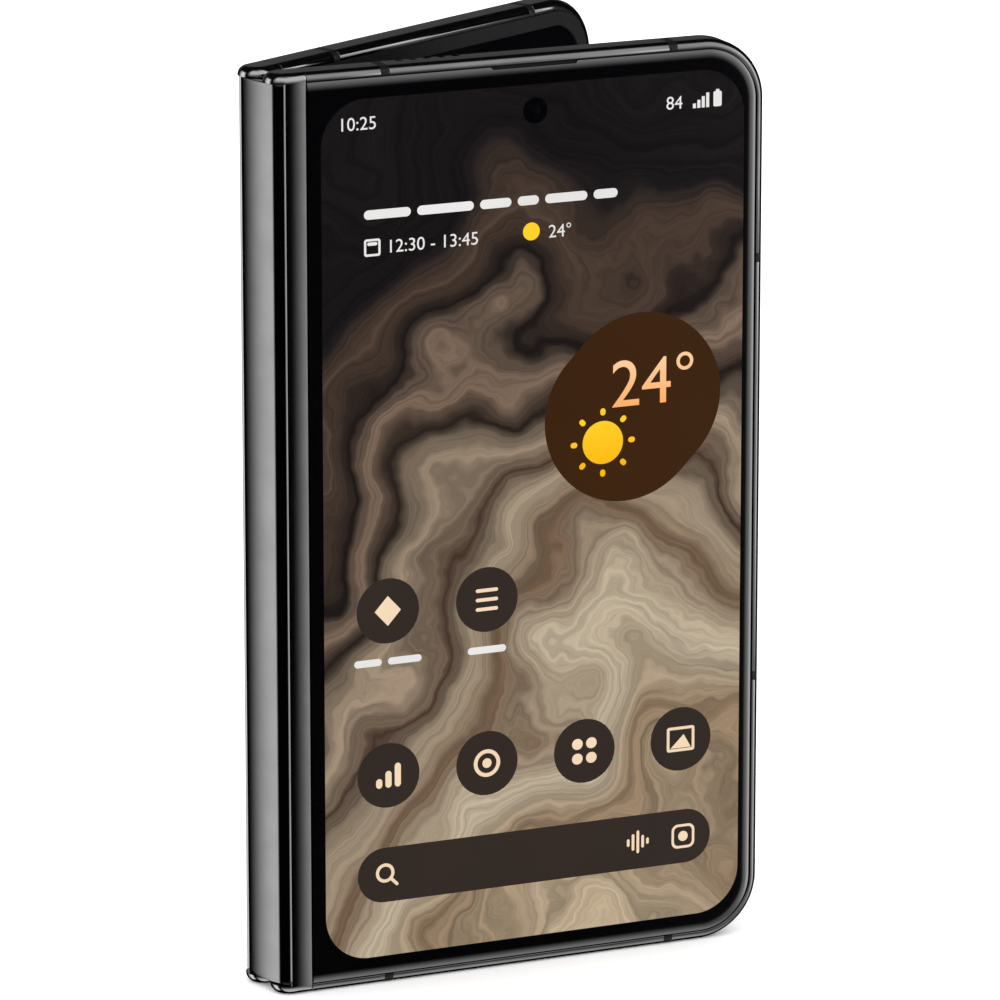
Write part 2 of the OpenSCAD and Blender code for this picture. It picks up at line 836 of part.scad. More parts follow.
module camera_island() color("dimgray") place_rear() difference() {
    level(z_face, z_face + island_t)
        rounded(island_x - island_w / 2, island_x + island_w / 2, island_y,
            island_y + island_l, island_w / 2 - 0.01);
    for (y = windows_y) translate([island_x, y, 0]) cylinder(r = window_r - 0.4, h = 20);
    for (y = windows_y) translate([island_x, y, z_face + island_t - 0.5])
        cylinder(r = window_r + fit_gap, h = 2);
    translate([flash_x, flash_y, z_face]) cylinder(r = flash_r + slide_gap, h = island_t + 1);
}

module island_glass() color("black") place_rear()
    for (y = windows_y) translate([island_x, y, z_face + island_t - 0.5])
        cylinder(r = window_r, h = 0.6);

module lens_barrel(i, r) {
    y = windows_y[i];
    color("black") place_rear() {
        translate([island_x, y, z_floor]) cylinder(r = r, h = z_face + island_t - 0.5 - z_floor);
        block(island_x - lens_block / 2, island_x + lens_block / 2,
            y - lens_block / 2, y + lens_block / 2, z_floor, lens_z);
    }
}

module main_camera() lens_barrel(2, window_r - 0.5);
module wide_camera() lens_barrel(1, window_r - 0.8);
module tele_camera() lens_barrel(0, window_r - 1.1);

module flash_lens() color("ivory") place_rear()
    translate([flash_x, flash_y, z_face]) cylinder(r = flash_r, h = island_t - 0.1);

module charging_coil() color("peru") place_rear()
    translate([battery_x + rear_battery_w / 2, battery_y + rear_battery_h / 2,
        z_floor + battery_t])
        difference() {
            cylinder(r = coil_r, h = coil_t);
            translate([0, 0, -1]) cylinder(r = coil_r / 2, h = 3);
        }

module rear_battery() color("silver") place_rear() level(z_floor, z_floor + battery_t)
    rounded(battery_x, battery_x + rear_battery_w, battery_y, battery_y + rear_battery_h, 2);

module main_board() {
    color("seagreen") place_rear()
        block(battery_x, board_x1, board_y0, board_y1, z_floor, z_floor + board_t);
}

module board_shields() {
    w = (board_x1 - battery_x - 3 * shield_gap) / 2;
    l = board_y1 - board_y0 - 2 * shield_gap;
    half_l = (l - shield_gap) / 2;
    color("silver") place_rear() translate([battery_x, board_y0, z_floor + board_t]) {
        for (y = [shield_gap, 2 * shield_gap + half_l])
            translate([shield_gap, y, 0]) cube([w, half_l, shield_t]);
        translate([2 * shield_gap + w, shield_gap, 0]) cube([w, l, shield_t]);
    }
}

module rear_bezel() color("black") place_rear() inner_bezel();
module inner_display_rear() color("midnightblue") place_rear() inner_display(inner_camera_r);

module inner_camera() color("black") place_rear()
    translate([inner_camera_x, inner_camera_y, z_panel + 0.1])
        cylinder(r = inner_camera_r - 0.15, h = z_plate - z_panel - 0.1);

module rear_hinge_arms() color("lightsteelblue") place_rear() hinge_arms();
module rear_shafts() color("silver") place_spine() translate([0, axis_gap, 0]) shafts();

module rear_gear() {
    color("gold") place_spine() translate([0, axis_gap, gear_station + gear_start])
        gear(0.5, shaft_r + 0.01);
}

module rear_screws() color("silver") place_rear() arm_screws();

module usb_port() color("silver") place_rear() difference() {
    union() {
        translate([port_x, 0, 0])
            port_outline(port_w / 2 + port_wall, port_t / 2 + 0.15, 0.1, band_w + 0.5);
        block(port_x - 5, port_x + 5, band_w, band_w + port_body, z_floor, port_top);
    }
    difference() {
        translate([port_x, 0, 0]) port_outline(port_w / 2, port_t / 2 - 0.2, -1, port_depth);
        block(port_x - 3.3, port_x + 3.3, 1, 8, -0.35, 0.35);
    }
}

module bottom_speaker() color("black") place_rear()
    block(speaker_x - speaker_over, speaker_x + speaker_slots * slot_pitch, band_w,
        band_w + speaker_l, z_floor, speaker_z);

module haptic_motor() color("silver") place_rear()
    block(battery_x, battery_x + motor_l, band_w + 1, band_w + 1 + motor_w, z_floor, motor_z);

module power_key() side_key(power_y, power_l);
module volume_key() side_key(volume_y, volume_l);

module key_switches() color("gray") place_rear() for (k = keys())
    block(reach - key_depth - key_travel - switch_t, reach - key_depth - key_travel - fit_gap,
        k[0] + 1, k[0] + k[1] - 1, z_floor, 0.6);

module rear_wing() color("slategray") place_rear() wing_plate();
module rear_magnets() color("silver") place_rear() magnets();

front_frame();
front_hinge_rail();
front_antenna_bands();
cover_glass();
cover_seal();
cover_display();
cover_camera();
earpiece_grille();
top_speaker();
front_battery();
front_board();
front_bezel();
inner_display_front();
front_hinge_arms();
front_shafts();
front_gear();
front_screws();
sim_tray();
sim_reader();
front_magnets();
front_wing();
spine_cover();
spine_bridge();
bearing_blocks();
friction_springs();
front_idler();
rear_idler();
fold_display();
hinge_flex();
spine_screws();
rear_frame();
rear_hinge_rail();
rear_antenna_bands();
back_glass();
camera_island();
island_glass();
main_camera();
wide_camera();
tele_camera();
flash_lens();
charging_coil();
rear_battery();
main_board();
board_shields();
rear_bezel();
inner_display_rear();
inner_camera();
rear_hinge_arms();
rear_shafts();
rear_gear();
rear_screws();
usb_port();
bottom_speaker();
haptic_motor();
power_key();
volume_key();
key_switches();
rear_wing();
rear_magnets();
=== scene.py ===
"""Foldable smartphone, standing half open: finishes, lit screen and fine shapes."""
import json
import math

import bmesh
import bpy
from mathutils import Matrix, Vector


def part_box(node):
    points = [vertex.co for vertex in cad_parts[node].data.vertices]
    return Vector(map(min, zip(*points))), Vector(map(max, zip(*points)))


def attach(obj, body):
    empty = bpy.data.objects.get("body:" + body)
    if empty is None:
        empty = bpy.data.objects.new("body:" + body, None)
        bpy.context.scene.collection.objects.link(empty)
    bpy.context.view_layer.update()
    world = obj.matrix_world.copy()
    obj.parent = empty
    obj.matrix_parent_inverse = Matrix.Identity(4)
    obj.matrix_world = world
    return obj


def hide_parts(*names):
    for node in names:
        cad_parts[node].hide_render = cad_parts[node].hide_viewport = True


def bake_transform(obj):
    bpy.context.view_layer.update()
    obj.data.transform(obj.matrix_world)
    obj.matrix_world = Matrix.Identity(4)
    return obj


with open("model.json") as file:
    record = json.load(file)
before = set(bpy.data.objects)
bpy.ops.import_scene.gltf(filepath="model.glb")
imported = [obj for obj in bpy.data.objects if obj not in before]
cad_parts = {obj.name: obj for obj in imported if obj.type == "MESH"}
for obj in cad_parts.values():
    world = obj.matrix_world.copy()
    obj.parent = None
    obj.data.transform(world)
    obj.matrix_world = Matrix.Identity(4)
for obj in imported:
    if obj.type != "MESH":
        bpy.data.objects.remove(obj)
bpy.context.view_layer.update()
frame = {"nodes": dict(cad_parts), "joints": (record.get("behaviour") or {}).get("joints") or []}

MM = 0.001

# Sizes of the phone, in millimetres, read from the frame where it gives them
low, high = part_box("front_frame")
HEIGHT = high.z / MM
REACH = high.x / MM
Z_METAL = -low.y / MM
Z_FACE = -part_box("cover_glass")[0].y / MM
Z_SEAT = -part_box("cover_seal")[1].y / MM
AXIS_GAP = 6.3
HALF_OPEN = -math.radians(
    next(j for j in frame["joints"] if j["name"] == "front_fold")["range_deg"][0])
CORNER_R = 9.5
EDGE_R = 1.3
BAND_W = 3
SEAM_X = 2.9
WEB_X = 4.6
GLASS_INSET = 1.35
GLASS_GAP = 0.05
BEZEL_INSET = 1.5
Z_BEZEL = -2.3
Z_PANEL = -2.6
LAYER_X = 5.85
LAYER_T = 0.35
BEZEL_LAP = 0.9
ANTENNA_W = 1.35
ANTENNA_X = (15.2, 61.2)
ANTENNA_Y = (41, HEIGHT - 33.7)
EAR_T = 1.4
LIP_X = 0.65
TROUGH_R = 2.46
RAIL_SEAM = 0.14
SPINE_R = 2.2
SPINE_WALL = 0.6
SPINE_TURN = math.radians(10)
SPINE_END = 1.5
FOLD_X = 2.6

# The cover display and what shows on it
BORDER_HINGE = 4.95
BORDER_FREE = 3.55
BORDER_END = 4.4
DISPLAY_R = 7
DISPLAY_X1 = REACH - BORDER_FREE
CAMERA_X = (BORDER_HINGE + DISPLAY_X1) / 2
CAMERA_Y = HEIGHT - BORDER_END - 3.9
PUNCH_R = 1.95
EARPIECE_L = 14
EARPIECE_T = 0.42

# Openings in the edges
SLOT_X = 18.2
SLOT_PITCH = 2.25
SLOT_W = 1.2
SLOT_COUNT = 5
SLOT_Z = (-1.5, -0.6)
SPEAKER_X = 46
TRAY_X = 22
TRAY_W = 13.4
TRAY_T = 1.8
PORT_X = 34
PORT_W = 8.4
PORT_T = 2.6
KEY_T = 1.9
KEY_PROUD = 0.3
KEYS = {"power_key": (62, 13), "volume_key": (80, 21)}
KEY_GAP = 0.1

# The camera island on the rear half
ISLAND_X = REACH - 16.5
ISLAND_W = 17
ISLAND_L = 46
ISLAND_Y = HEIGHT - 9 - ISLAND_L
ISLAND_T = 1.4
WINDOW_R = 5.4
WINDOW_PITCH = 13
WINDOWS_Y = [ISLAND_Y + ISLAND_L / 2 + i * WINDOW_PITCH for i in (-1, 0, 1)]
FLASH_R = 1.5
FLASH_X = ISLAND_X - ISLAND_W / 2 + FLASH_R + 1.3
FLASH_Y = (WINDOWS_Y[1] + WINDOWS_Y[2]) / 2


# Places: a half's own frame is x from its hinge axis, y up, z outwards

def on_front(x, y, z):
    return Vector((x, -z, y)) * MM


def on_spine(x, y, z):
    return Matrix.Rotation(HALF_OPEN, 3, "Z") @ Vector((x, y, z)) * MM


def on_rear(x, y, z):
    turn = Matrix.Rotation(HALF_OPEN, 3, "Z")
    return turn @ (turn @ Vector((x, z, y)) + Vector((0, AXIS_GAP, 0))) * MM


HALVES = {"front": (on_front, "cover_half"), "rear": (on_rear, "camera_half")}


# Materials

class Shader:
    """A material's node tree, with short calls for the nodes it is made of."""

    def __init__(self, name):
        self.material = bpy.data.materials.new(name)
        self.material.use_nodes = True
        self.tree = self.material.node_tree
        self.surface = self.tree.nodes["Principled BSDF"]
        self.place = self.node("ShaderNodeTexCoord").outputs["Object"]

    def node(self, kind, **values):
        made = self.tree.nodes.new(kind)
        for name, value in values.items():
            setattr(made, name, value)
        return made

    def feed(self, socket, value):
        if hasattr(value, "is_linked") or hasattr(value, "links"):
            self.tree.links.new(value, socket)
        else:
            socket.default_value = value

    def math(self, operation, *values):
        made = self.node("ShaderNodeMath", operation=operation)
        for socket, value in zip(made.inputs, values):
            self.feed(socket, value)
        return made.outputs[0]

    def vector(self, operation, *values):
        made = self.node("ShaderNodeVectorMath", operation=operation)
        for socket, value in zip(made.inputs, values):
            self.feed(socket, value)
        return made.outputs["Value" if operation in ("LENGTH", "DISTANCE") else "Vector"]

    def scaled(self, scale, turn=(0, 0, 0), place=None):
        made = self.node("ShaderNodeMapping")
        self.feed(made.inputs["Vector"], place or self.place)
        made.inputs["Rotation"].default_value = turn
        made.inputs["Scale"].default_value = scale
        return made.outputs[0]

    def noise(self, place, scale, detail=4, roughness=0.5, distortion=0):
        made = self.node("ShaderNodeTexNoise")
        self.feed(made.inputs["Vector"], place)
        made.inputs["Scale"].default_value = scale
        made.inputs["Detail"].default_value = detail
        made.inputs["Roughness"].default_value = roughness
        made.inputs["Distortion"].default_value = distortion
        return made.outputs[0]

    def span(self, value, low0, high0, low1, high1):
        made = self.node("ShaderNodeMapRange")
        for socket, item in zip(made.inputs, (value, low0, high0, low1, high1)):
            self.feed(socket, item)
        return made.outputs[0]

    def ramp(self, value, stops):
        made = self.node("ShaderNodeValToRGB")
        self.feed(made.inputs[0], value)
        keys = made.color_ramp.elements
        while len(keys) < len(stops):
            keys.new(1)
        for key, (place, colour) in zip(keys, stops):
            key.position = place
            key.color = linear(colour)
        return made.outputs[0]

    def mix(self, share, a, b):
        made = self.node("ShaderNodeMix", data_type="RGBA")
        sockets = [s for s in made.inputs if s.enabled]
        for socket, value in zip(sockets, (share, a, b)):
            self.feed(socket, value)
        return next(s for s in made.outputs if s.enabled)

    def set(self, **values):
        for name, value in values.items():
            self.feed(self.surface.inputs[name.replace("_", " ")], value)
        return self

    def bump(self, height, distance, strength=1):
        made = self.node("ShaderNodeBump")
        made.inputs["Strength"].default_value = strength
        made.inputs["Distance"].default_value = distance
        self.feed(made.inputs["Height"], height)
        self.feed(self.surface.inputs["Normal"], made.outputs[0])
        return self


def linear(colour):
    """An sRGB colour of three numbers from 0 to 255, as a linear colour."""
    parts = [c / 255 for c in colour]
    return [c / 12.92 if c < 0.04045 else ((c + 0.055) / 1.055) ** 2.4 for c in parts] + [1]


def metal(name, colour, rough, grain=1.0, stretch=(1, 1, 1)):
    """Polished or turned metal with a fine grain and slightly uneven polish."""
    s = Shader(name)
    fine = s.noise(s.scaled(stretch), 9000, 3)
    broad = s.noise(s.place, 160, 3)
    s.set(
        Base_Color=s.mix(s.span(broad, 0.3, 0.7, 0, 1), linear(colour),
                         linear([c * 0.93 for c in colour])),
        Metallic=1.0,
        Roughness=s.math("ADD", s.span(fine, 0.2, 0.8, rough * 0.8, rough * 1.2),
                         s.span(broad, 0.3, 0.7, -0.012, 0.012)),
    )
    s.bump(fine, 0.0000012 * grain)
    return s.material


def plastic(name, colour, rough, texture=0.000004, specular=0.5):
    """Moulded plastic or film with a fine even texture."""
    s = Shader(name)
    fine = s.noise(s.place, 14000, 2)
    broad = s.noise(s.place, 300, 3)
    s.set(
        Base_Color=s.mix(s.span(broad, 0.3, 0.7, 0, 1), linear(colour),
                         linear([c * 0.88 + 1 for c in colour])),
        Roughness=s.span(broad, 0.3, 0.7, rough - 0.03, rough + 0.03),
        Specular_IOR_Level=specular,
    )
    s.bump(fine, texture)
    return s.material


def glossy_black(name, colour=(4, 4, 5), rough=0.035, ior=1.52):
    """Black glass, with a trace of wiped haze in its gloss."""
    s = Shader(name)
    haze = s.noise(s.scaled((1, 1, 0.3)), 90, 4)
    s.set(Base_Color=linear(colour), Roughness=s.span(haze, 0.35, 0.75, rough * 0.9, rough * 1.12),
          IOR=ior)
    return s.material


def picture(s):
    """The lit picture: curved strata, pale at the lower right and near black at the top left."""
    width = (DISPLAY_X1 - BORDER_HINGE) * MM
    across = s.node("ShaderNodeSeparateXYZ")
    s.feed(across.inputs[0], s.place)
    x = s.math("DIVIDE", across.outputs["X"], width)
    y = s.math("DIVIDE", across.outputs["Z"], width)
    flat = s.node("ShaderNodeCombineXYZ")
    s.feed(flat.inputs["X"], x)
    s.feed(flat.inputs["Y"], y)
    sway = s.noise(flat.outputs[0], 1.6, 2, 0.45)
    ripple = s.noise(flat.outputs[0], 5, 3, 0.5)
    reach = s.vector("LENGTH", s.vector(
        "MULTIPLY", s.vector("SUBTRACT", flat.outputs[0], (0.9, -0.45, 0)), (1, 0.62, 1)))
    depth = s.math("ADD", reach, s.span(sway, 0.2, 0.8, -0.28, 0.28))
    depth = s.math("ADD", depth, s.span(ripple, 0.2, 0.8, -0.045, 0.045))
    ground = s.ramp(s.span(depth, 0.25, 1.75, 0, 1), [
        (0.0, (208, 190, 160)), (0.10, (186, 166, 138)), (0.20, (150, 126, 100)),
        (0.28, (206, 190, 164)), (0.36, (122, 97, 76)), (0.42, (184, 165, 140)),
        (0.48, (66, 49, 39)), (0.53, (172, 151, 128)), (0.58, (40, 31, 27)),
        (0.63, (134, 112, 95)), (0.67, (30, 25, 24)), (0.72, (84, 67, 56)),
        (0.77, (28, 24, 24)), (1.0, (25, 22, 23)),
    ])
    along = s.node("ShaderNodeCombineXYZ")
    s.feed(along.inputs["X"], s.math("MULTIPLY", depth, 58))
    s.feed(along.inputs["Y"], s.math("MULTIPLY", s.math("SUBTRACT", y, x), 1.3))
    lines = s.noise(along.outputs[0], 1, 6, 0.7, 0.5)
    broad = s.noise(along.outputs[0], 0.33, 2, 0.5)
    strength = s.math("MULTIPLY", s.span(lines, 0.3, 0.72, 0.5, 1.25),
                      s.span(broad, 0.35, 0.65, 0.75, 1.15))
    toned = s.node("ShaderNodeMix", data_type="RGBA", blend_type="MULTIPLY")
    sockets = [k for k in toned.inputs if k.enabled]
    sockets[0].default_value = 1
    s.feed(sockets[1], ground)
    grey = s.node("ShaderNodeCombineColor")
    for socket in grey.inputs:
        s.feed(socket, strength)
    s.feed(sockets[2], grey.outputs[0])
    return next(k for k in toned.outputs if k.enabled)


def screen_glass(name):
    """Cover glass over its display: black border, lit picture, dark camera window."""
    s = Shader(name)
    centre = ((BORDER_HINGE + DISPLAY_X1) / 2 * MM, 0, HEIGHT / 2 * MM)
    half = ((DISPLAY_X1 - BORDER_HINGE) / 2 * MM, 0, (HEIGHT / 2 - BORDER_END) * MM)
    corner = DISPLAY_R * MM
    flat = s.vector("MULTIPLY", s.place, (1, 0, 1))
    away = s.vector("ABSOLUTE", s.vector("SUBTRACT", flat, centre))
    over = s.vector("MAXIMUM", s.vector(
        "SUBTRACT", away, (half[0] - corner, 0, half[2] - corner)), (0, 0, 0))
    inside = s.math("LESS_THAN", s.vector("LENGTH", over), corner)
    lens = s.vector("DISTANCE", flat, (CAMERA_X * MM, 0, CAMERA_Y * MM))
    lit = s.math("MULTIPLY", inside, s.math("GREATER_THAN", lens, PUNCH_R * MM))
    haze = s.noise(s.scaled((1, 1, 0.3)), 90, 4)
    s.set(
        Base_Color=linear((3, 3, 4)), IOR=1.65,
        Roughness=s.span(haze, 0.35, 0.75, 0.012, 0.03),
        Emission_Color=s.mix(lit, (0, 0, 0, 1), picture(s)), Emission_Strength=1.0,
    )
    return s.material


def glowing(name, colour, spread=0.06):
    """A lit mark on the screen, with a faint change of tone across it."""
    s = Shader(name)
    tone = s.noise(s.place, 60, 2)
    s.set(
        Base_Color=linear((3, 3, 4)), IOR=1.65, Roughness=0.03,
        Emission_Color=s.mix(s.span(tone, 0.3, 0.7, 0, 1), linear(colour),
                             linear([min(255, c * (1 - spread)) for c in colour])),
        Emission_Strength=1.0,
    )
    return s.material


def graded(name, low_colour, high_colour, level, height):
    """A lit mark whose colour runs from one tone to another, up the screen."""
    s = Shader(name)
    parts = s.node("ShaderNodeSeparateXYZ")
    s.feed(parts.inputs[0], s.place)
    share = s.span(parts.outputs["Z"], level * MM, (level + height) * MM, 0, 1)
    s.set(Base_Color=linear((3, 3, 4)), IOR=1.65, Roughness=0.03,
          Emission_Color=s.mix(share, linear(low_colour), linear(high_colour)),
          Emission_Strength=1.0)
    return s.material


def circuit(name):
    """Circuit board: green lacquer over copper tracks."""
    s = Shader(name)
    bricks = s.node("ShaderNodeTexVoronoi", distance="MANHATTAN", feature="DISTANCE_TO_EDGE")
    s.feed(bricks.inputs["Vector"], s.place)
    bricks.inputs["Scale"].default_value = 420
    track = s.math("LESS_THAN", bricks.outputs["Distance"], 0.06)
    s.set(Base_Color=s.mix(track, linear((18, 66, 44)), linear((46, 110, 66))),
          Roughness=0.35, Specular_IOR_Level=0.5)
    s.bump(track, 0.00001)
    return s.material


def foil(name, colour):
    """Crinkled battery foil."""
    s = Shader(name)
    crinkle = s.noise(s.place, 260, 5, 0.6, 0.4)
    s.set(Base_Color=s.mix(s.span(crinkle, 0.3, 0.7, 0, 1), linear(colour),
                           linear([c * 0.8 for c in colour])),
          Metallic=0.4, Roughness=s.span(crinkle, 0.3, 0.7, 0.3, 0.5))
    s.bump(crinkle, 0.00003)
    return s.material


POLISHED = metal("polished_dark_metal", (92, 92, 92), 0.13)
RAIL = metal("polished_rail_metal", (120, 120, 120), 0.10, stretch=(1, 1, 0.05))
SPINE = metal("polished_spine_metal", (92, 92, 92), 0.10, stretch=(1, 1, 0.05))
BAND = plastic("band_plastic", (13, 13, 14), 0.42, specular=0.12)
BEZEL = plastic("bezel_plastic", (11, 11, 12), 0.5, specular=0.1)
SEAL = plastic("seal_foam", (22, 22, 24), 0.8, 0.00001)
MODULE = plastic("module_black", (20, 20, 22), 0.45)
FILM = plastic("flex_film", (150, 86, 30), 0.3)
SCREEN = screen_glass("cover_glass_lit")
INNER = glossy_black("inner_screen", (4, 4, 6), 0.06)
BACK = glossy_black("back_glass_satin", (9, 9, 10), 0.3)
LENS = glossy_black("lens_black", (3, 4, 9), 0.02, 1.9)
WINDOW = glossy_black("window_glass", (3, 3, 4), 0.025)
STEEL = metal("steel", (150, 150, 152), 0.3)
BRASS = metal("brass", (196, 158, 84), 0.28)
COPPER = metal("coil_copper", (186, 104, 62), 0.34)
ISLAND = metal("satin_island_metal", (60, 60, 63), 0.24)
MESH_METAL = metal("grille_mesh", (44, 44, 46), 0.4)
BOARD = circuit("circuit_board")
FOIL = foil("battery_foil", (46, 47, 52))
DIFFUSER = plastic("flash_diffuser", (232, 222, 190), 0.35, 0.00002)


# Mesh making

def solid(name, points, faces, material, body, nodes=(), sharp=35):
    """A closed piece from points and faces: merged, turned outwards and shaded."""
    mesh = bpy.data.meshes.new(name)
    mesh.from_pydata([tuple(p) for p in points], [], faces)
    shape = bmesh.new()
    shape.from_mesh(mesh)
    bmesh.ops.remove_doubles(shape, verts=shape.verts, dist=1e-7)
    bmesh.ops.recalc_face_normals(shape, faces=shape.faces)
    shape.to_mesh(mesh)
    shape.free()
    made = bpy.data.objects.new(name, mesh)
    bpy.context.scene.collection.objects.link(made)
    mesh.materials.append(material)
    shade(made, sharp)
    if body:
        dress(made, body, nodes)
    return made


def shade(piece, sharp):
    piece.data.shade_smooth()
    piece.data.set_sharp_from_angle(angle=math.radians(sharp))


def dress(piece, body, nodes):
    """Ties a finished piece to its body and to the nodes it stands for."""
    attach(piece, body)
    if nodes:
        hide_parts(*nodes)


class Shape:
    """Points and faces gathered from several closed shells."""

    def __init__(self, place):
        self.place = place
        self.points = []
        self.faces = []

    def loft(self, rings):
        """A closed shell through rings of as many points each, capped at both ends."""
        start = len(self.points)
        count = len(rings[0])
        for ring in rings:
            self.points += [self.place(*p) for p in ring]
        for i in range(len(rings) - 1):
            a = start + i * count
            for k in range(count):
                n = (k + 1) % count
                self.faces.append((a + k, a + n, a + count + n, a + count + k))
        self.faces.append(tuple(start + k for k in range(count)))
        self.faces.append(tuple(start + (len(rings) - 1) * count + k for k in range(count)))
        return self

    def ring(self, rings):
        """A closed shell through rings that join up again, as round a hole."""
        start = len(self.points)
        count = len(rings[0])
        for ring in rings:
            self.points += [self.place(*p) for p in ring]
        for i in range(len(rings)):
            a = start + i * count
            b = start + (i + 1) % len(rings) * count
            for k in range(count):
                n = (k + 1) % count
                self.faces.append((a + k, a + n, b + n, b + k))
        return self

    def take(self, mesh, upright=False):
        """Adds a plain mesh laid out in the part's own frame, with y and z swapped if upright."""
        start = len(self.points)
        for v in mesh.vertices:
            x, y, z = v.co
            self.points.append(self.place(x, z, y) if upright else self.place(x, y, z))
        self.faces += [tuple(start + i for i in face.vertices) for face in mesh.polygons]
        return self

    def sweep(self, section, stations):
        """A section of (inward, level) points carried along stations of (x, y, nx, ny)."""
        return self.loft([
            [(x + nx * d, y + ny * d, z) for d, z in part]
            for (x, y, nx, ny), part in zip(stations, section)
        ])

    def made(self, name, material, body, nodes=(), slot=None, sharp=35):
        return solid(name, self.points, self.faces, material, body, nodes, sharp)


def arc(cx, cy, r, a0, a1, n):
    """Points on an arc, from one angle in degrees to another, both ends included."""
    angles = [math.radians(a0 + (a1 - a0) * i / n) for i in range(n + 1)]
    return [(cx + r * math.cos(a), cy + r * math.sin(a)) for a in angles]


def shrunk(section, by):
    """The same closed section drawn in by a small distance."""
    middle = Vector((sum(p[0] for p in section), sum(p[1] for p in section))) / len(section)
    drawn = []
    for p in section:
        off = middle - Vector(p)
        drawn.append(tuple(Vector(p) + Vector((
            math.copysign(min(by, abs(off.x)), off.x),
            math.copysign(min(by, abs(off.y)), off.y)))))
    return drawn


# Geometry Nodes trees for what repeats or follows a rule

class Tree:
    """A Geometry Nodes tree with named sizes, which ends in real faces and their material."""

    def __init__(self, name, **sizes):
        self.tree = bpy.data.node_groups.new(name, "GeometryNodeTree")
        sides = self.tree.interface
        sides.new_socket("Geometry", in_out="INPUT", socket_type="NodeSocketGeometry")
        sides.new_socket("Geometry", in_out="OUTPUT", socket_type="NodeSocketGeometry")
        self.values = {}
        for label, value in sizes.items():
            kind = "NodeSocketInt" if isinstance(value, int) else "NodeSocketFloat"
            socket = sides.new_socket(label, in_out="INPUT", socket_type=kind)
            self.values[socket.identifier] = value
        self.start = self.tree.nodes.new("NodeGroupInput").outputs

    def node(self, kind, feeds=None, **settings):
        made = self.tree.nodes.new(kind)
        for label, value in settings.items():
            setattr(made, label, value)
        for label, value in (feeds or {}).items():
            if isinstance(value, bpy.types.NodeSocket):
                self.tree.links.new(value, made.inputs[label])
            else:
                made.inputs[label].default_value = value
        return made.outputs

    def vector(self, x=0.0, y=0.0, z=0.0):
        return self.node("ShaderNodeCombineXYZ", {"X": x, "Y": y, "Z": z})[0]

    def maths(self, operation, a, b):
        return self.node("ShaderNodeMath", {0: a, 1: b}, operation=operation)[0]

    def rod(self, radius, low, high, sides=24):
        """A cylinder from one level to another."""
        body = self.node("GeometryNodeMeshCylinder", {
            "Vertices": sides, "Radius": radius, "Depth": self.maths("SUBTRACT", high, low)})[0]
        middle = self.maths("MULTIPLY", self.maths("ADD", high, low), 0.5)
        return self.moved(body, self.vector(z=middle))

    def moved(self, geometry, by):
        return self.node("GeometryNodeTransform", {"Geometry": geometry, "Translation": by})[0]

    def joined(self, *parts):
        made = self.tree.nodes.new("GeometryNodeJoinGeometry")
        for part in reversed(parts):
            self.tree.links.new(part, made.inputs[0])
        return made.outputs[0]

    def pill_bar(self, length, width, depth):
        """A flat bar with round ends, lying along x, with its face up."""
        outline = self.node("GeometryNodeCurvePrimitiveQuadrilateral",
                            {"Width": length, "Height": width})[0]
        least = self.maths("MINIMUM", length, width)
        rounded = self.node("GeometryNodeFilletCurve", {
            "Curve": outline, "Radius": self.maths("MULTIPLY", least, 0.499), "Count": 8,
        }, mode="POLY")[0]
        path = self.node("GeometryNodeCurvePrimitiveLine", {"End": self.vector(z=depth)})[0]
        return self.node("GeometryNodeCurveToMesh", {
            "Curve": path, "Profile Curve": rounded, "Fill Caps": True})[0]

    def on_points(self, points, copy, turn=None):
        feeds = {"Points": points, "Instance": copy}
        if turn:
            feeds["Rotation"] = turn
        return self.node("GeometryNodeInstanceOnPoints", feeds)[0]

    def finish(self, geometry, material):
        real = self.node("GeometryNodeRealizeInstances", {"Geometry": geometry})[0]
        dressed = self.node("GeometryNodeSetMaterial",
                            {"Geometry": real, "Material": material})[0]
        end = self.tree.nodes.new("NodeGroupOutput")
        self.tree.links.new(dressed, end.inputs[0])
        return self

    def laid(self, points, edges=()):
        """The tree's result on some points or an outline, as a plain mesh."""
        mesh = bpy.data.meshes.new("layout")
        mesh.from_pydata(points, edges, [])
        holder = bpy.data.objects.new("layout", mesh)
        bpy.context.scene.collection.objects.link(holder)
        change = holder.modifiers.new("layout", "NODES")
        change.node_group = self.tree
        for identifier, value in self.values.items():
            change[identifier] = value
        graph = bpy.context.evaluated_depsgraph_get()
        made = bpy.data.meshes.new_from_object(holder.evaluated_get(graph))
        holder.modifiers.clear()
        bpy.data.objects.remove(holder)
        return made


def bar_row(name, material, count, pitch, length, width, depth):
    """A row of equal bars with round ends, on each point, such as sound slots or a mesh."""
    t = Tree(name, Count=count, Pitch=pitch, Length=length, Width=width, Depth=depth)
    line = t.node("GeometryNodeMeshLine", {
        "Count": t.start["Count"], "Offset": t.vector(x=t.start["Pitch"])}, mode="OFFSET")[0]
    bar_mesh = t.pill_bar(t.start["Length"], t.start["Width"], t.start["Depth"])
    row = t.node("GeometryNodeRealizeInstances", {"Geometry": t.on_points(line, bar_mesh)})[0]
    return t.finish(t.on_points(t.start["Geometry"], row), material)


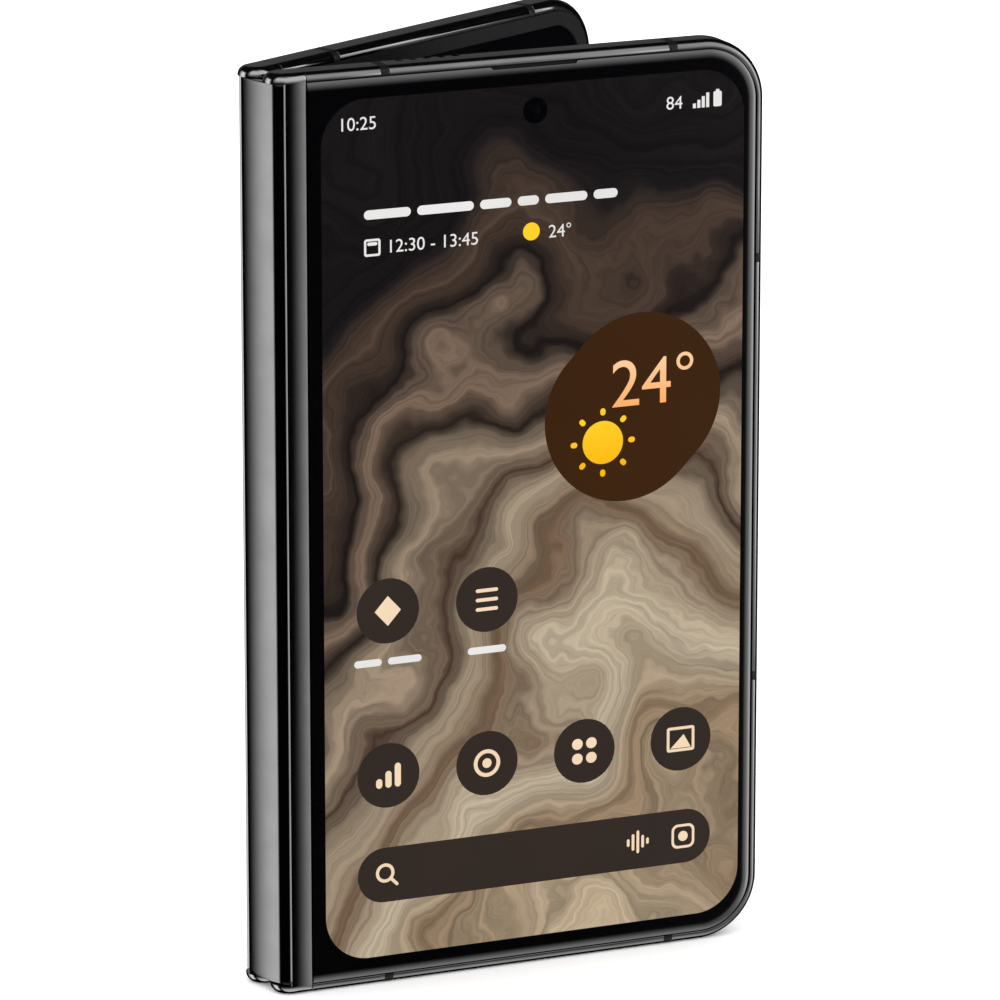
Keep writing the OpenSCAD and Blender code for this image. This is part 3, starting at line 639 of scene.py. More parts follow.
def ray_ring(name, material, count, radius, length, width, depth):
    """Equal bars set in a ring, each pointing away from its middle."""
    t = Tree(name, Count=count, Radius=radius, Length=length, Width=width, Depth=depth)
    ring = t.node("GeometryNodeMeshCircle", {
        "Vertices": t.start["Count"], "Radius": t.start["Radius"]})[0]
    step = t.maths("DIVIDE", 2 * math.pi, t.start["Count"])
    turn = t.maths("MULTIPLY", t.node("GeometryNodeInputIndex")[0], step)
    bar_mesh = t.pill_bar(t.start["Length"], t.start["Width"], t.start["Depth"])
    rays = t.on_points(ring, bar_mesh, t.vector(z=turn))
    rays = t.node("GeometryNodeRealizeInstances", {"Geometry": rays})[0]
    return t.finish(t.on_points(t.start["Geometry"], rays), material)


def screw_set(name, material, head_r, head_low, head_high, shank_r, shank_low, shank_high):
    """Cross-head screws, one on each point."""
    t = Tree(name, HeadRadius=head_r, HeadLow=head_low, HeadHigh=head_high,
             ShankRadius=shank_r, ShankLow=shank_low, ShankHigh=shank_high,
             CrossWidth=head_r * 0.28, CrossLength=head_r * 1.3, CrossDepth=0.12)
    head = t.rod(t.start["HeadRadius"], t.start["HeadLow"], t.start["HeadHigh"], 32)
    arms = []
    for turned in (False, True):
        sides = [t.start["CrossLength"], t.start["CrossWidth"]]
        if turned:
            sides.reverse()
        depth = t.maths("MULTIPLY", t.start["CrossDepth"], 2.0)
        block = t.node("GeometryNodeMeshCube", {"Size": t.vector(*sides, depth)})[0]
        arms.append(t.moved(block, t.vector(z=t.start["HeadLow"])))
    cross = t.node("GeometryNodeMeshBoolean", operation="DIFFERENCE")
    boolean = cross[0].node
    t.tree.links.new(head, boolean.inputs["Mesh 1"])
    for arm in arms:
        t.tree.links.new(arm, boolean.inputs["Mesh 2"])
    shank = t.rod(t.start["ShankRadius"], t.start["ShankLow"], t.start["ShankHigh"], 16)
    return t.finish(t.on_points(t.start["Geometry"], t.joined(cross[0], shank)), material)


def wound_coil(name, material, turns, inner_r, outer_r, wire):
    """Flat wire wound in one spiral round each point."""
    t = Tree(name, Turns=turns, InnerRadius=inner_r, OuterRadius=outer_r, Wire=wire)
    half = t.maths("MULTIPLY", t.start["Wire"], 0.5)
    path = t.node("GeometryNodeCurveSpiral", {
        "Resolution": 72, "Rotations": t.start["Turns"],
        "Start Radius": t.maths("ADD", t.start["InnerRadius"], half),
        "End Radius": t.maths("SUBTRACT", t.start["OuterRadius"], half), "Height": 0.0})[0]
    wire_side = t.node("GeometryNodeCurvePrimitiveCircle", {"Resolution": 8, "Radius": half},
                       mode="RADIUS")[0]
    winding = t.node("GeometryNodeCurveToMesh", {
        "Curve": path, "Profile Curve": wire_side, "Fill Caps": True})[0]
    return t.finish(t.on_points(t.start["Geometry"], winding), material)


def drawn_profile(name, material, low, high):
    """A closed outline drawn straight up from one level to another, with both ends closed."""
    t = Tree(name, Low=low, High=high)
    outline = t.node("GeometryNodeMeshToCurve", {"Mesh": t.start["Geometry"]})[0]
    path = t.node("GeometryNodeCurvePrimitiveLine", {
        "Start": t.vector(z=t.start["Low"]), "End": t.vector(z=t.start["High"])})[0]
    drawn = t.node("GeometryNodeCurveToMesh", {
        "Curve": path, "Profile Curve": outline, "Fill Caps": True})[0]
    return t.finish(drawn, material)


def loop_edges(outline):
    return [(i, (i + 1) % len(outline)) for i in range(len(outline))]


# The frame's edge, as a path from the seam along the top, the free edge and the bottom

STRAIGHT = REACH - CORNER_R - SEAM_X
QUARTER = math.pi / 2 * CORNER_R
SIDE = HEIGHT - 2 * CORNER_R
TOTAL = 2 * STRAIGHT + 2 * QUARTER + SIDE
ARC_STEPS = 28


def edge_at(s):
    """Outer point and inward direction at a length s along the edge."""
    if s <= STRAIGHT:
        return SEAM_X + s, HEIGHT, 0, -1
    s -= STRAIGHT
    if s < QUARTER:
        a = math.pi / 2 - s / CORNER_R
        return (REACH - CORNER_R + CORNER_R * math.cos(a),
                HEIGHT - CORNER_R + CORNER_R * math.sin(a), -math.cos(a), -math.sin(a))
    s -= QUARTER
    if s <= SIDE:
        return REACH, HEIGHT - CORNER_R - s, -1, 0
    s -= SIDE
    if s < QUARTER:
        a = -s / CORNER_R
        return (REACH - CORNER_R + CORNER_R * math.cos(a),
                CORNER_R + CORNER_R * math.sin(a), -math.cos(a), -math.sin(a))
    s -= QUARTER
    return REACH - CORNER_R - s, 0, 0, 1


def edge_marks(s0, s1):
    """Lengths between two ends of a stretch where the path needs a ring."""
    marks = [STRAIGHT + QUARTER * i / ARC_STEPS for i in range(ARC_STEPS + 1)]
    marks += [STRAIGHT + QUARTER + SIDE + QUARTER * i / ARC_STEPS for i in range(ARC_STEPS + 1)]
    return [s0] + [m for m in marks if s0 + 0.01 < m < s1 - 0.01] + [s1]


def bar_section():
    """Section of the bar: rounded outer edges, a seat for the glass, a step for the bezel."""
    line = 0.05
    round_z = Z_METAL - EDGE_R
    return (
        [(GLASS_INSET, Z_METAL - line), (GLASS_INSET - line, Z_METAL)]
        + arc(EDGE_R, round_z, EDGE_R, 90, 180, 14)
        + arc(EDGE_R, -round_z, EDGE_R, 180, 270, 14)
        + [(BEZEL_INSET, -Z_METAL), (BEZEL_INSET, Z_BEZEL), (BAND_W, Z_BEZEL),
           (BAND_W, Z_SEAT), (GLASS_INSET, Z_SEAT)]
    )


def stretch(shape, s0, s1, section, groove=0.04):
    """One stretch of an edge bar, with its two ends eased so that a fine joint shows."""
    marks = edge_marks(s0, s1)
    marks = [s0] + [s0 + groove] + marks[1:-1] + [s1 - groove] + [s1]
    parts = [shrunk(section, groove)] + [section] * (len(marks) - 2) + [shrunk(section, groove)]
    return shape.sweep(parts, [edge_at(m) for m in marks])


def band_places():
    """Middle of each antenna band, as a length along the edge."""
    return sorted(
        [x - SEAM_X for x in ANTENNA_X]
        + [STRAIGHT + QUARTER + HEIGHT - CORNER_R - y for y in ANTENNA_Y]
        + [TOTAL - (x - SEAM_X) for x in ANTENNA_X]
    )


def cut(piece, cutters, sharp=35):
    """Cuts closed shells out of a piece, and leaves a plain mesh."""
    material = piece.data.materials[0]
    tool = solid("cutter", cutters.points, cutters.faces, material, None)
    change = piece.modifiers.new("cut", "BOOLEAN")
    change.operation = "DIFFERENCE"
    change.solver = "EXACT"
    change.object = tool
    graph = bpy.context.evaluated_depsgraph_get()
    mesh = bpy.data.meshes.new_from_object(piece.evaluated_get(graph))
    piece.modifiers.clear()
    piece.data = mesh
    bpy.data.objects.remove(tool)
    shade(piece, sharp)
    return piece


def block_ring(x0, x1, y0, y1):
    return [(x0, y0), (x1, y0), (x1, y1), (x0, y1)]


def box_shell(shape, x0, x1, y0, y1, z0, z1):
    ring = block_ring(x0, x1, y0, y1)
    return shape.loft([[(x, y, z) for x, y in ring] for z in (z0, z1)])


def pill(x0, x1, y0, y1, r, n=8):
    """Outline of a rectangle with round corners."""
    return (arc(x1 - r, y1 - r, r, 0, 90, n) + arc(x0 + r, y1 - r, r, 90, 180, n)
            + arc(x0 + r, y0 + r, r, 180, 270, n) + arc(x1 - r, y0 + r, r, 270, 360, n))


def slot_shell(shape, x0, x1, z0, z1, y0, y1):
    """A slot with round ends through the top or bottom bar."""
    r = min(x1 - x0, z1 - z0) / 2 - 0.001
    outline = pill(x0, x1, z0, z1, r)
    return shape.loft([[(x, y, z) for x, z in outline] for y in (y0, y1)])


def make_edges(side):
    """The metal edge bars and plastic bands of one half."""
    place, body = HALVES[side]
    section = bar_section()
    edges = Shape(place)
    bands = Shape(place)
    places = band_places()
    starts = [0] + [s + ANTENNA_W / 2 for s in places]
    ends = [s - ANTENNA_W / 2 for s in places] + [TOTAL]
    for s0, s1 in zip(starts, ends):
        stretch(edges, s0, s1, section)
    for s in places:
        stretch(bands, s - ANTENNA_W / 2, s + ANTENNA_W / 2, section, 0.02)
    metal_edge = solid(side + "_edge_bars", edges.points, edges.faces, POLISHED, None)
    holes = Shape(place)
    slots = bar_row("sound_slots", POLISHED, SLOT_COUNT, SLOT_PITCH, SLOT_W,
                    SLOT_Z[1] - SLOT_Z[0], BAND_W + 2)
    slot_level = (SLOT_Z[0] + SLOT_Z[1]) / 2
    if side == "front":
        holes.take(slots.laid([(SLOT_X + SLOT_W / 2, slot_level, HEIGHT - BAND_W - 1)]), True)
        slot_shell(holes, TRAY_X - 0.1, TRAY_X + TRAY_W + 0.1, -TRAY_T / 2 - 0.1,
                   TRAY_T / 2 + 0.1, -1, BAND_W + 1)
    else:
        slot_shell(holes, PORT_X - PORT_W / 2 - 0.1, PORT_X + PORT_W / 2 + 0.1,
                   -PORT_T / 2 + 0.15, PORT_T / 2 - 0.15, -1, BAND_W + 1)
        holes.take(slots.laid([(SPEAKER_X + SLOT_W / 2, slot_level, -1)]), True)
        for y, length in KEYS.values():
            outline = pill(y - KEY_GAP, y + length + KEY_GAP, -KEY_T / 2 - KEY_GAP,
                           KEY_T / 2 + KEY_GAP, KEY_T / 2)
            holes.loft([[(x, u, v) for u, v in outline] for x in (REACH - 1.2, REACH + 1)])
    cut(metal_edge, holes)
    plate = Shape(place)
    outline = half_outline(WEB_X + 2, BAND_W)
    plate.loft([[(x, y, z) for x, y in outline] for z in (-1.6, -1.2)])
    midplate = solid("plate", plate.points, plate.faces, POLISHED, None)
    join(metal_edge, midplate)
    dress(metal_edge, body, [side + "_frame"])
    bands.made(side + "_bands", BAND, body, [side + "_antenna_bands"], "band_plastic")


def join(piece, *others):
    """Adds the shells of other pieces to a piece."""
    shape = bmesh.new()
    shape.from_mesh(piece.data)
    for other in others:
        shape.from_mesh(other.data)
        bpy.data.objects.remove(other)
    shape.to_mesh(piece.data)
    shape.free()
    shade(piece, 35)


def half_outline(x0, inset, n=24):
    """Outline of a half drawn in from the frame's edge, straight at the hinge side."""
    r = CORNER_R - inset
    x1 = REACH - inset
    return ([(x0, inset)] + arc(x1 - r, inset + r, r, 270, 360, n)
            + arc(x1 - r, HEIGHT - inset - r, r, 0, 90, n) + [(x0, HEIGHT - inset)])


# Hinge rails and spine

def crown(x):
    """Height of the rail's crowned face."""
    crown_r = 19
    middle = -0.2
    raised = 0.14
    return Z_METAL + raised - crown_r + math.sqrt(crown_r ** 2 - (x - middle) ** 2)


def rail_section():
    """Section of the rail's strip in (x, z): lip, crowned face, seam and trough."""
    lip = 0.12
    seam = RAIL_SEAM
    steps = 20
    under = math.degrees(math.acos(-LIP_X / TROUGH_R))
    face = [(-LIP_X + lip + (SEAM_X - seam + LIP_X - lip) * i / steps) for i in range(steps + 1)]
    return (
        [(-LIP_X, math.sqrt(TROUGH_R ** 2 - LIP_X ** 2) + 0.01)]
        + [(x, crown(x)) for x in face]
        + [(SEAM_X - 0.02, crown(SEAM_X) - 0.1), (SEAM_X - 0.02, -0.1)]
        + [(x, z) for x, z in arc(0, 0, TROUGH_R, -2.4, under, 24)]
    )


def make_rail(side):
    """One hinge rail: its strip, its web under the glass and a round ear at each end."""
    place, body = HALVES[side]
    rail = Shape(place)
    section = rail_section()
    strip = drawn_profile("rail_strip", RAIL, EAR_T, HEIGHT - EAR_T)
    rail.take(strip.laid([(x, z, 0) for x, z in section], loop_edges(section)), True)
    box_shell(rail, SEAM_X - 0.02, WEB_X, BAND_W, HEIGHT - BAND_W, -0.1, Z_SEAT)
    falls = [(x, Z_METAL - crown(x)) for x in (-0.3, 0.8, 1.5, 2.1, 2.6, SEAM_X - RAIL_SEAM)]
    falls.append((SEAM_X - 0.02, Z_METAL - crown(SEAM_X) + 0.1))
    for end, way in ((0, 1), (HEIGHT, -1)):
        rings = []
        for a in range(90, -1, -10):
            turn = math.radians(a)
            inset = EDGE_R * (1 - math.cos(turn))
            depth = EDGE_R * (1 - math.sin(turn))
            r = Z_METAL - inset
            outline = [(SEAM_X - 0.02, -r)] + list(reversed(arc(0, 0, r, 105, 270, 33)))
            outline += [(x, r - fall * depth / EDGE_R) for x, fall in falls]
            rings.append([(x, end + way * depth, z) for x, z in outline])
        rings.append([(x, end + way * EAR_T, z) for x, _, z in rings[-1]])
        rail.loft(rings)
    return rail.made(side + "_rail", RAIL, body, [side + "_hinge_rail"], "hinge_metal", 28)


def spine_outline(inset, n=28):
    """The spine's open outline, drawn in: two round sides and a crowned middle."""
    r = SPINE_R - inset
    far = AXIS_GAP / 2 / math.sin(SPINE_TURN)
    turn = math.degrees(SPINE_TURN)
    last = 91
    return (arc(0, 0, r, 360 - last, 180 + turn, n)
            + arc(far * math.cos(SPINE_TURN), AXIS_GAP / 2, far + r, 180 + turn, 180 - turn, n)[1:]
            + arc(0, AXIS_GAP, r, 180 - turn, last, n)[1:])


def make_spine():
    """The spine: a bent wall, closed by a plate with an eased edge at each end."""
    spine = Shape(on_spine)
    wall = spine_outline(0) + list(reversed(spine_outline(SPINE_WALL)))
    plate_t = 0.6
    bent = drawn_profile("spine_wall", SPINE, SPINE_END + plate_t, HEIGHT - SPINE_END - plate_t)
    spine.take(bent.laid([(x, y, 0) for x, y in wall], loop_edges(wall)))
    ease = 0.15
    for end, way in ((SPINE_END, 1), (HEIGHT - SPINE_END, -1)):
        rings = []
        for a in (90, 67, 45, 22, 0):
            turn = math.radians(a)
            inset = ease * (1 - math.cos(turn))
            rings.append([(x, y, end + way * ease * (1 - math.sin(turn)))
                          for x, y in spine_outline(inset)])
        rings.append([(x, y, end + way * plate_t) for x, y in spine_outline(0)])
        spine.loft(rings)
    spine.made("spine", SPINE, "spine", ["spine_cover"], "spine_metal", 30)


# Glass, bezels and displays

def rimmed_rings(outline, base, top, rim, drop, edge=0.06):
    """Rings of a plate whose face curves down to its edge."""
    radius = (rim ** 2 + drop ** 2) / (2 * drop)
    rings = [outline(edge, base), outline(0, base + edge), outline(0, top - drop - edge)]
    rings.append(outline(edge * 0.3, top - drop - edge * 0.2))
    start = edge
    for i in range(17):
        inset = start + (rim - start) * i / 16
        level = top - (radius - math.sqrt(radius ** 2 - (rim - inset) ** 2))
        rings.append(outline(inset, level))
    rings.append(outline(rim + 0.4, top))
    return rings


def glass_outline(inset, level):
    return [(x, y, level) for x, y in half_outline(
        SEAM_X + GLASS_GAP, GLASS_INSET + GLASS_GAP + inset)]


def make_cover_glass():
    """The cover glass with its curved rim and the earpiece's notch."""
    glass = Shape(on_front)
    glass.loft(rimmed_rings(glass_outline, 2.2, Z_FACE - 0.01, 1.5, 0.36))
    piece = solid("cover_glass_pane", glass.points, glass.faces, SCREEN, None)
    notch = Shape(on_front)
    top = HEIGHT - GLASS_INSET - GLASS_GAP
    half = EARPIECE_L / 2
    outline = [(CAMERA_X - half, top + 1), (CAMERA_X - half, top),
               (CAMERA_X - half + EARPIECE_T, top - EARPIECE_T),
               (CAMERA_X + half - EARPIECE_T, top - EARPIECE_T),
               (CAMERA_X + half, top), (CAMERA_X + half, top + 1)]
    notch.loft([[(x, y, z) for x, y in outline] for z in (0, 4)])
    cut(piece, notch)
    dress(piece, "cover_half", ["cover_glass"])


def make_back_glass():
    glass = Shape(on_rear)
    glass.loft(rimmed_rings(glass_outline, Z_SEAT, Z_FACE - 0.01, 1.5, 0.42))
    piece = solid("back_glass_pane", glass.points, glass.faces, BACK, None)
    holes = Shape(on_rear)
    for y in WINDOWS_Y:
        outline = arc(ISLAND_X, y, WINDOW_R - 0.4, 0, 352.5, 47)
        holes.loft([[(x, v, z) for x, v in outline] for z in (0, 5)])
    cut(piece, holes)
    dress(piece, "camera_half", ["back_glass"])


def make_bezel(side):
    place, body = HALVES[side]
    bezel = Shape(place)
    outer = BEZEL_INSET + 0.05
    ease = 0.12
    rim = [(outer, Z_BEZEL), (outer, ease - Z_FACE), (outer + ease, -Z_FACE),
           (BAND_W, -Z_FACE), (BAND_W, Z_BEZEL)]
    lap = [(BAND_W, Z_PANEL), (BAND_W, -Z_FACE), (BAND_W + BEZEL_LAP - ease, -Z_FACE),
           (BAND_W + BEZEL_LAP, ease - Z_FACE), (BAND_W + BEZEL_LAP, Z_PANEL)]
    marks = edge_marks(0, TOTAL)
    bezel.sweep([rim] * len(marks), [edge_at(m) for m in marks])
    trim = LAYER_X - SEAM_X
    marks = edge_marks(trim, TOTAL - trim)
    bezel.sweep([lap] * len(marks), [edge_at(m) for m in marks])
    bezel.made(side + "_inner_bezel", BEZEL, body, [side + "_bezel"], "bezel_plastic")


def fold_strips():
    """The two flexible strips, each shaped to its bend at rest in the half-open pose."""
    fold = math.pi / 2 - HALF_OPEN
    turned_by = Matrix.Rotation(fold, 2)
    start = turned_by @ Vector((FOLD_X, -LAYER_X))
    end = Vector((FOLD_X, AXIS_GAP / 2))
    along = end - start
    rest = []
    for i in range(25):
        flat = -LAYER_X + (AXIS_GAP / 2 + LAYER_X) * i / 24
        pair = []
        for x in (FOLD_X, FOLD_X - LAYER_T):
            lo, hi = 0.0, 1.0
            for _ in range(40):
                share = (lo + hi) / 2
                p = Matrix.Rotation(fold * (1 - share), 2) @ Vector((x, flat))
                t = min(1, max(0, (p - start).dot(along) / along.length_squared))
                if t * t * (3 - 2 * t) > share:
                    lo = share
                else:
                    hi = share
            pair.append(p)
        rest.append(pair)
    y0, y1 = BAND_W + 0.2, HEIGHT - BAND_W - 0.2
    for side, body in (("front", "cover_half"), ("rear", "camera_half")):
        flip = (lambda p: p) if side == "front" else (lambda p: Vector((p.x, AXIS_GAP - p.y)))
        strip = Shape(on_spine)
        rings = []
        for outer, inner in rest:
            a, b = flip(outer), flip(inner)
            rings.append([(a.x, a.y, y0), (a.x, a.y, y1), (b.x, b.y, y1), (b.x, b.y, y0)])
        strip.loft(rings)
        piece = solid(side + "_fold_strip", strip.points, strip.faces, INNER, None)
        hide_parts("fold_display")
        ends = [on_spine(*flip(p), 0) for p in (start, end)]
        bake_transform(piece)


# The rear camera island

def island_outline(inset, level):
    half = ISLAND_W / 2
    return [(x, y, level) for x, y in pill(
        ISLAND_X - half + inset, ISLAND_X + half - inset, ISLAND_Y + inset,
        ISLAND_Y + ISLAND_L - inset, half - inset - 0.01, 20)]


def make_island():
    island = Shape(on_rear)
    island.loft(rimmed_rings(island_outline, Z_FACE, Z_FACE + ISLAND_T, 0.6, 0.5))
    piece = solid("camera_bar", island.points, island.faces, ISLAND, None)
    holes = Shape(on_rear)
    for y in WINDOWS_Y:
        rims = ((WINDOW_R - 0.4, 0), (WINDOW_R - 0.4, Z_FACE + ISLAND_T - 0.5),
                (WINDOW_R + 0.05, Z_FACE + ISLAND_T - 0.5), (WINDOW_R + 0.05, 9))
        holes.loft([[(x, v, z) for x, v in arc(ISLAND_X, y, r, 0, 352.5, 47)] for r, z in rims])
    flash = arc(FLASH_X, FLASH_Y, FLASH_R + 0.1, 0, 345, 23)
    holes.loft([[(x, y, z) for x, y in flash] for z in (0, 9)])
    cut(piece, holes)
    dress(piece, "camera_half", ["camera_island"])


def turned(shape, cx, cy, rim, n=48):
    """A round piece about (cx, cy), from a rim of (radius, level) points."""
    return shape.loft([[(x, y, z) for x, y in arc(cx, cy, r, 0, 360 - 360 / n, n - 1)]
                       for r, z in rim])


def turned_ring(shape, cx, cy, rim, n=48):
    return shape.ring([[(x, y, z) for x, y in arc(cx, cy, r, 0, 360 - 360 / n, n - 1)]
                       for r, z in rim])


def make_windows():
    """Window glass as rings, with a lens and its stepped barrel in each."""
    top = Z_FACE + ISLAND_T
    glass = Shape(on_rear)
    lenses = Shape(on_rear)
    barrels = Shape(on_rear)
    for y, eye in zip(WINDOWS_Y, (2.3, 2.7, 3.1)):
        turned_ring(glass, ISLAND_X, y, (
            (eye, top - 0.45), (WINDOW_R, top - 0.45), (WINDOW_R, top - 0.05),
            (WINDOW_R - 0.1, top + 0.05), (eye + 0.1, top + 0.05), (eye, top - 0.02)))
        turned_ring(barrels, ISLAND_X, y, (
            (eye, top - 0.5), (eye, top - 0.1), (eye - 0.25, top - 0.35), (eye - 0.25, top - 0.7),
            (eye - 0.7, top - 0.8), (eye - 0.7, top - 1.5), (eye, top - 1.5)))
        dome = [(0.001, top - 1.5)] + [
            ((eye - 0.75) * math.cos(math.radians(a)), top - 1.35 + 0.5 * math.sin(
                math.radians(a))) for a in range(0, 90, 10)] + [(0.001, top - 0.85)]
        turned(lenses, ISLAND_X, y, dome)
    glass.made("window_glass_rings", WINDOW, "camera_half", ["island_glass"], "island_glass")
    barrels.made("lens_barrels", MODULE, "camera_half", slot="lens_black")
    lenses.made("camera_lenses", LENS, "camera_half", slot="lens_black", sharp=60)
    flash = Shape(on_rear)
    turned(flash, FLASH_X, FLASH_Y, (
        (FLASH_R, Z_FACE), (FLASH_R, top - 0.2), (FLASH_R - 0.1, top - 0.1), (0.9, top - 0.1),
        (0.8, top - 0.25), (0.001, top - 0.25)), 32)
    flash.made("flash_window", DIFFUSER, "camera_half", ["flash_lens"], "flash_diffuser")


def make_keys():
    """The side keys, with round ends and an eased rim."""
    for name, (y, length) in KEYS.items():
        key = Shape(on_rear)
        rings = []
        for inset, x in ((0, REACH - 0.85), (0, REACH + KEY_PROUD - 0.15),
                         (0.04, REACH + KEY_PROUD - 0.05), (0.15, REACH + KEY_PROUD)):
            outline = pill(y + inset, y + length - inset, -KEY_T / 2 + inset, KEY_T / 2 - inset,
                           KEY_T / 2 - inset - 0.01)
            rings.append([(x, u, v) for u, v in outline])
        key.loft(rings)
        for e in (y + 1.4, y + length - 3.4):
            box_shell(key, REACH - BAND_W - 0.6, REACH - 0.84, e, e + 2, -0.45, 0.45)
        key.made(name + "_cap", POLISHED, name, [name], "key_metal")


# What the screen shows: plain marks laid in its surface

MARK_T = 0.02


def flat_mark(shape, outline, top, thick=MARK_T):
    return shape.loft([[(x, y, z) for x, y in outline] for z in (top - thick, top)])


def flat_ring(shape, cx, cy, r0, r1, top, n=40, thick=MARK_T):
    return turned_ring(shape, cx, cy, ((r0, top - thick), (r1, top - thick), (r1, top), (r0, top)), n)


def bar(shape, x0, x1, y0, y1, top):
    r = min(x1 - x0, y1 - y0) / 2 - 0.001
    return flat_mark(shape, pill(x0, x1, y0, y1, r, 6), top)


def slanted(shape, x0, y0, x1, y1, width, top, n=8):
    """A bar with round ends between two points."""
    turn = math.degrees(math.atan2(y1 - y0, x1 - x0))
    outline = (arc(x1, y1, width / 2, turn - 90, turn + 90, n)
               + arc(x0, y0, width / 2, turn + 90, turn + 270, n))
    return flat_mark(shape, outline, top)


def digits(text, size, x, y, top, name, material):
    """Plain digits as flat solids, their lower left corner at x, y."""
    curve = bpy.data.curves.new(name, "FONT")
    curve.body = text
    curve.size = size * 1.38
    curve.extrude = 0.01
    words = bpy.data.objects.new(name, curve)
    bpy.context.scene.collection.objects.link(words)
    graph = bpy.context.evaluated_depsgraph_get()
    mesh = bpy.data.meshes.new_from_object(words.evaluated_get(graph))
    bpy.data.objects.remove(words)
    left = min(v.co.x for v in mesh.vertices)
    base = min(v.co.y for v in mesh.vertices)
    for v in mesh.vertices:
        v.co = on_front(v.co.x - left + x, v.co.y - base + y, v.co.z + top - 0.01)
    mesh.materials.clear()
    mesh.materials.append(material)
    made = bpy.data.objects.new(name, mesh)
    bpy.context.scene.collection.objects.link(made)
    dress(made, "cover_half", [])
    return made


SCREEN_TOP = Z_FACE - 0.006
MARK_TOP = Z_FACE - 0.003
LABEL_TOP = Z_FACE
DISC_COLOUR = (53, 44, 39)
CREAM = (254, 226, 192)
ICON_R = 5.0
ICON_PITCH = 15.95
ICONS_X = [BORDER_HINGE + 10.15 + i * ICON_PITCH for i in range(4)]
DOCK_Y = 32.5
GRID_Y = 57.9
PILL_Y = 17.05
PILL_H = 8.5
WIDGET_X, WIDGET_Y = 54.75, 85.1
WIDGET_R = 13.0
WIDGET_DRAW = 1.35
NOTICE_X = 11.6


def icon_grounds(material):
    """The six dark discs, laid in two rows, and the long bar under them."""
    grounds = Shape(on_front)
    for y, count in ((DOCK_Y, 4), (GRID_Y, 2)):
        discs = bar_row("icon_discs", material, count, ICON_PITCH, 2 * ICON_R + 0.01,
                        2 * ICON_R, MARK_T)
        grounds.take(discs.laid([(ICONS_X[0], y, SCREEN_TOP - MARK_T)]))
    x0, x1 = ICONS_X[0] - ICON_R, ICONS_X[3] + ICON_R
    flat_mark(grounds, pill(x0, x1, PILL_Y - PILL_H / 2, PILL_Y + PILL_H / 2,
                            PILL_H / 2 - 0.01, 16), SCREEN_TOP)
    grounds.made("icon_grounds", material, "cover_half", slot="cover_screen")


def make_widget(umber, amber, yellow):
    """The round panel with its number and its plain sun."""
    widget = Shape(on_front)
    slanted(widget, WIDGET_X - WIDGET_DRAW, WIDGET_Y - WIDGET_DRAW, WIDGET_X + WIDGET_DRAW,
            WIDGET_Y + WIDGET_DRAW, 2 * WIDGET_R, SCREEN_TOP, 48)
    widget.made("widget_ground", umber, "cover_half", slot="cover_screen")
    digits("24°", 7.4, WIDGET_X - 3.4, WIDGET_Y + 0.2, LABEL_TOP, "widget_digits", amber)
    sun = Shape(on_front)
    sun_x, sun_y = WIDGET_X - 4.9, WIDGET_Y - 5.0
    flat_mark(sun, arc(sun_x, sun_y, 3.3, 0, 354, 59), MARK_TOP)
    rays = ray_ring("sun_rays", yellow, 8, 4.7, 1.1, 0.85, MARK_T)
    sun.take(rays.laid([(sun_x, sun_y, MARK_TOP - MARK_T)]))
    sun.made("widget_sun", yellow, "cover_half", slot="cover_screen")


def frame_mark(shape, x, y, w, h, line, r=0.4):
    """An open rectangle with round corners."""
    outer = pill(x - w / 2, x + w / 2, y - h / 2, y + h / 2, r, 5)
    inner = pill(x - w / 2 + line, x + w / 2 - line, y - h / 2 + line, y + h / 2 - line,
                 r - line * 0.8, 5)
    return shape.ring([[(u, v, z) for u, v in ring] for ring, z in (
        (inner, MARK_TOP - MARK_T), (outer, MARK_TOP - MARK_T), (outer, MARK_TOP),
        (inner, MARK_TOP))])


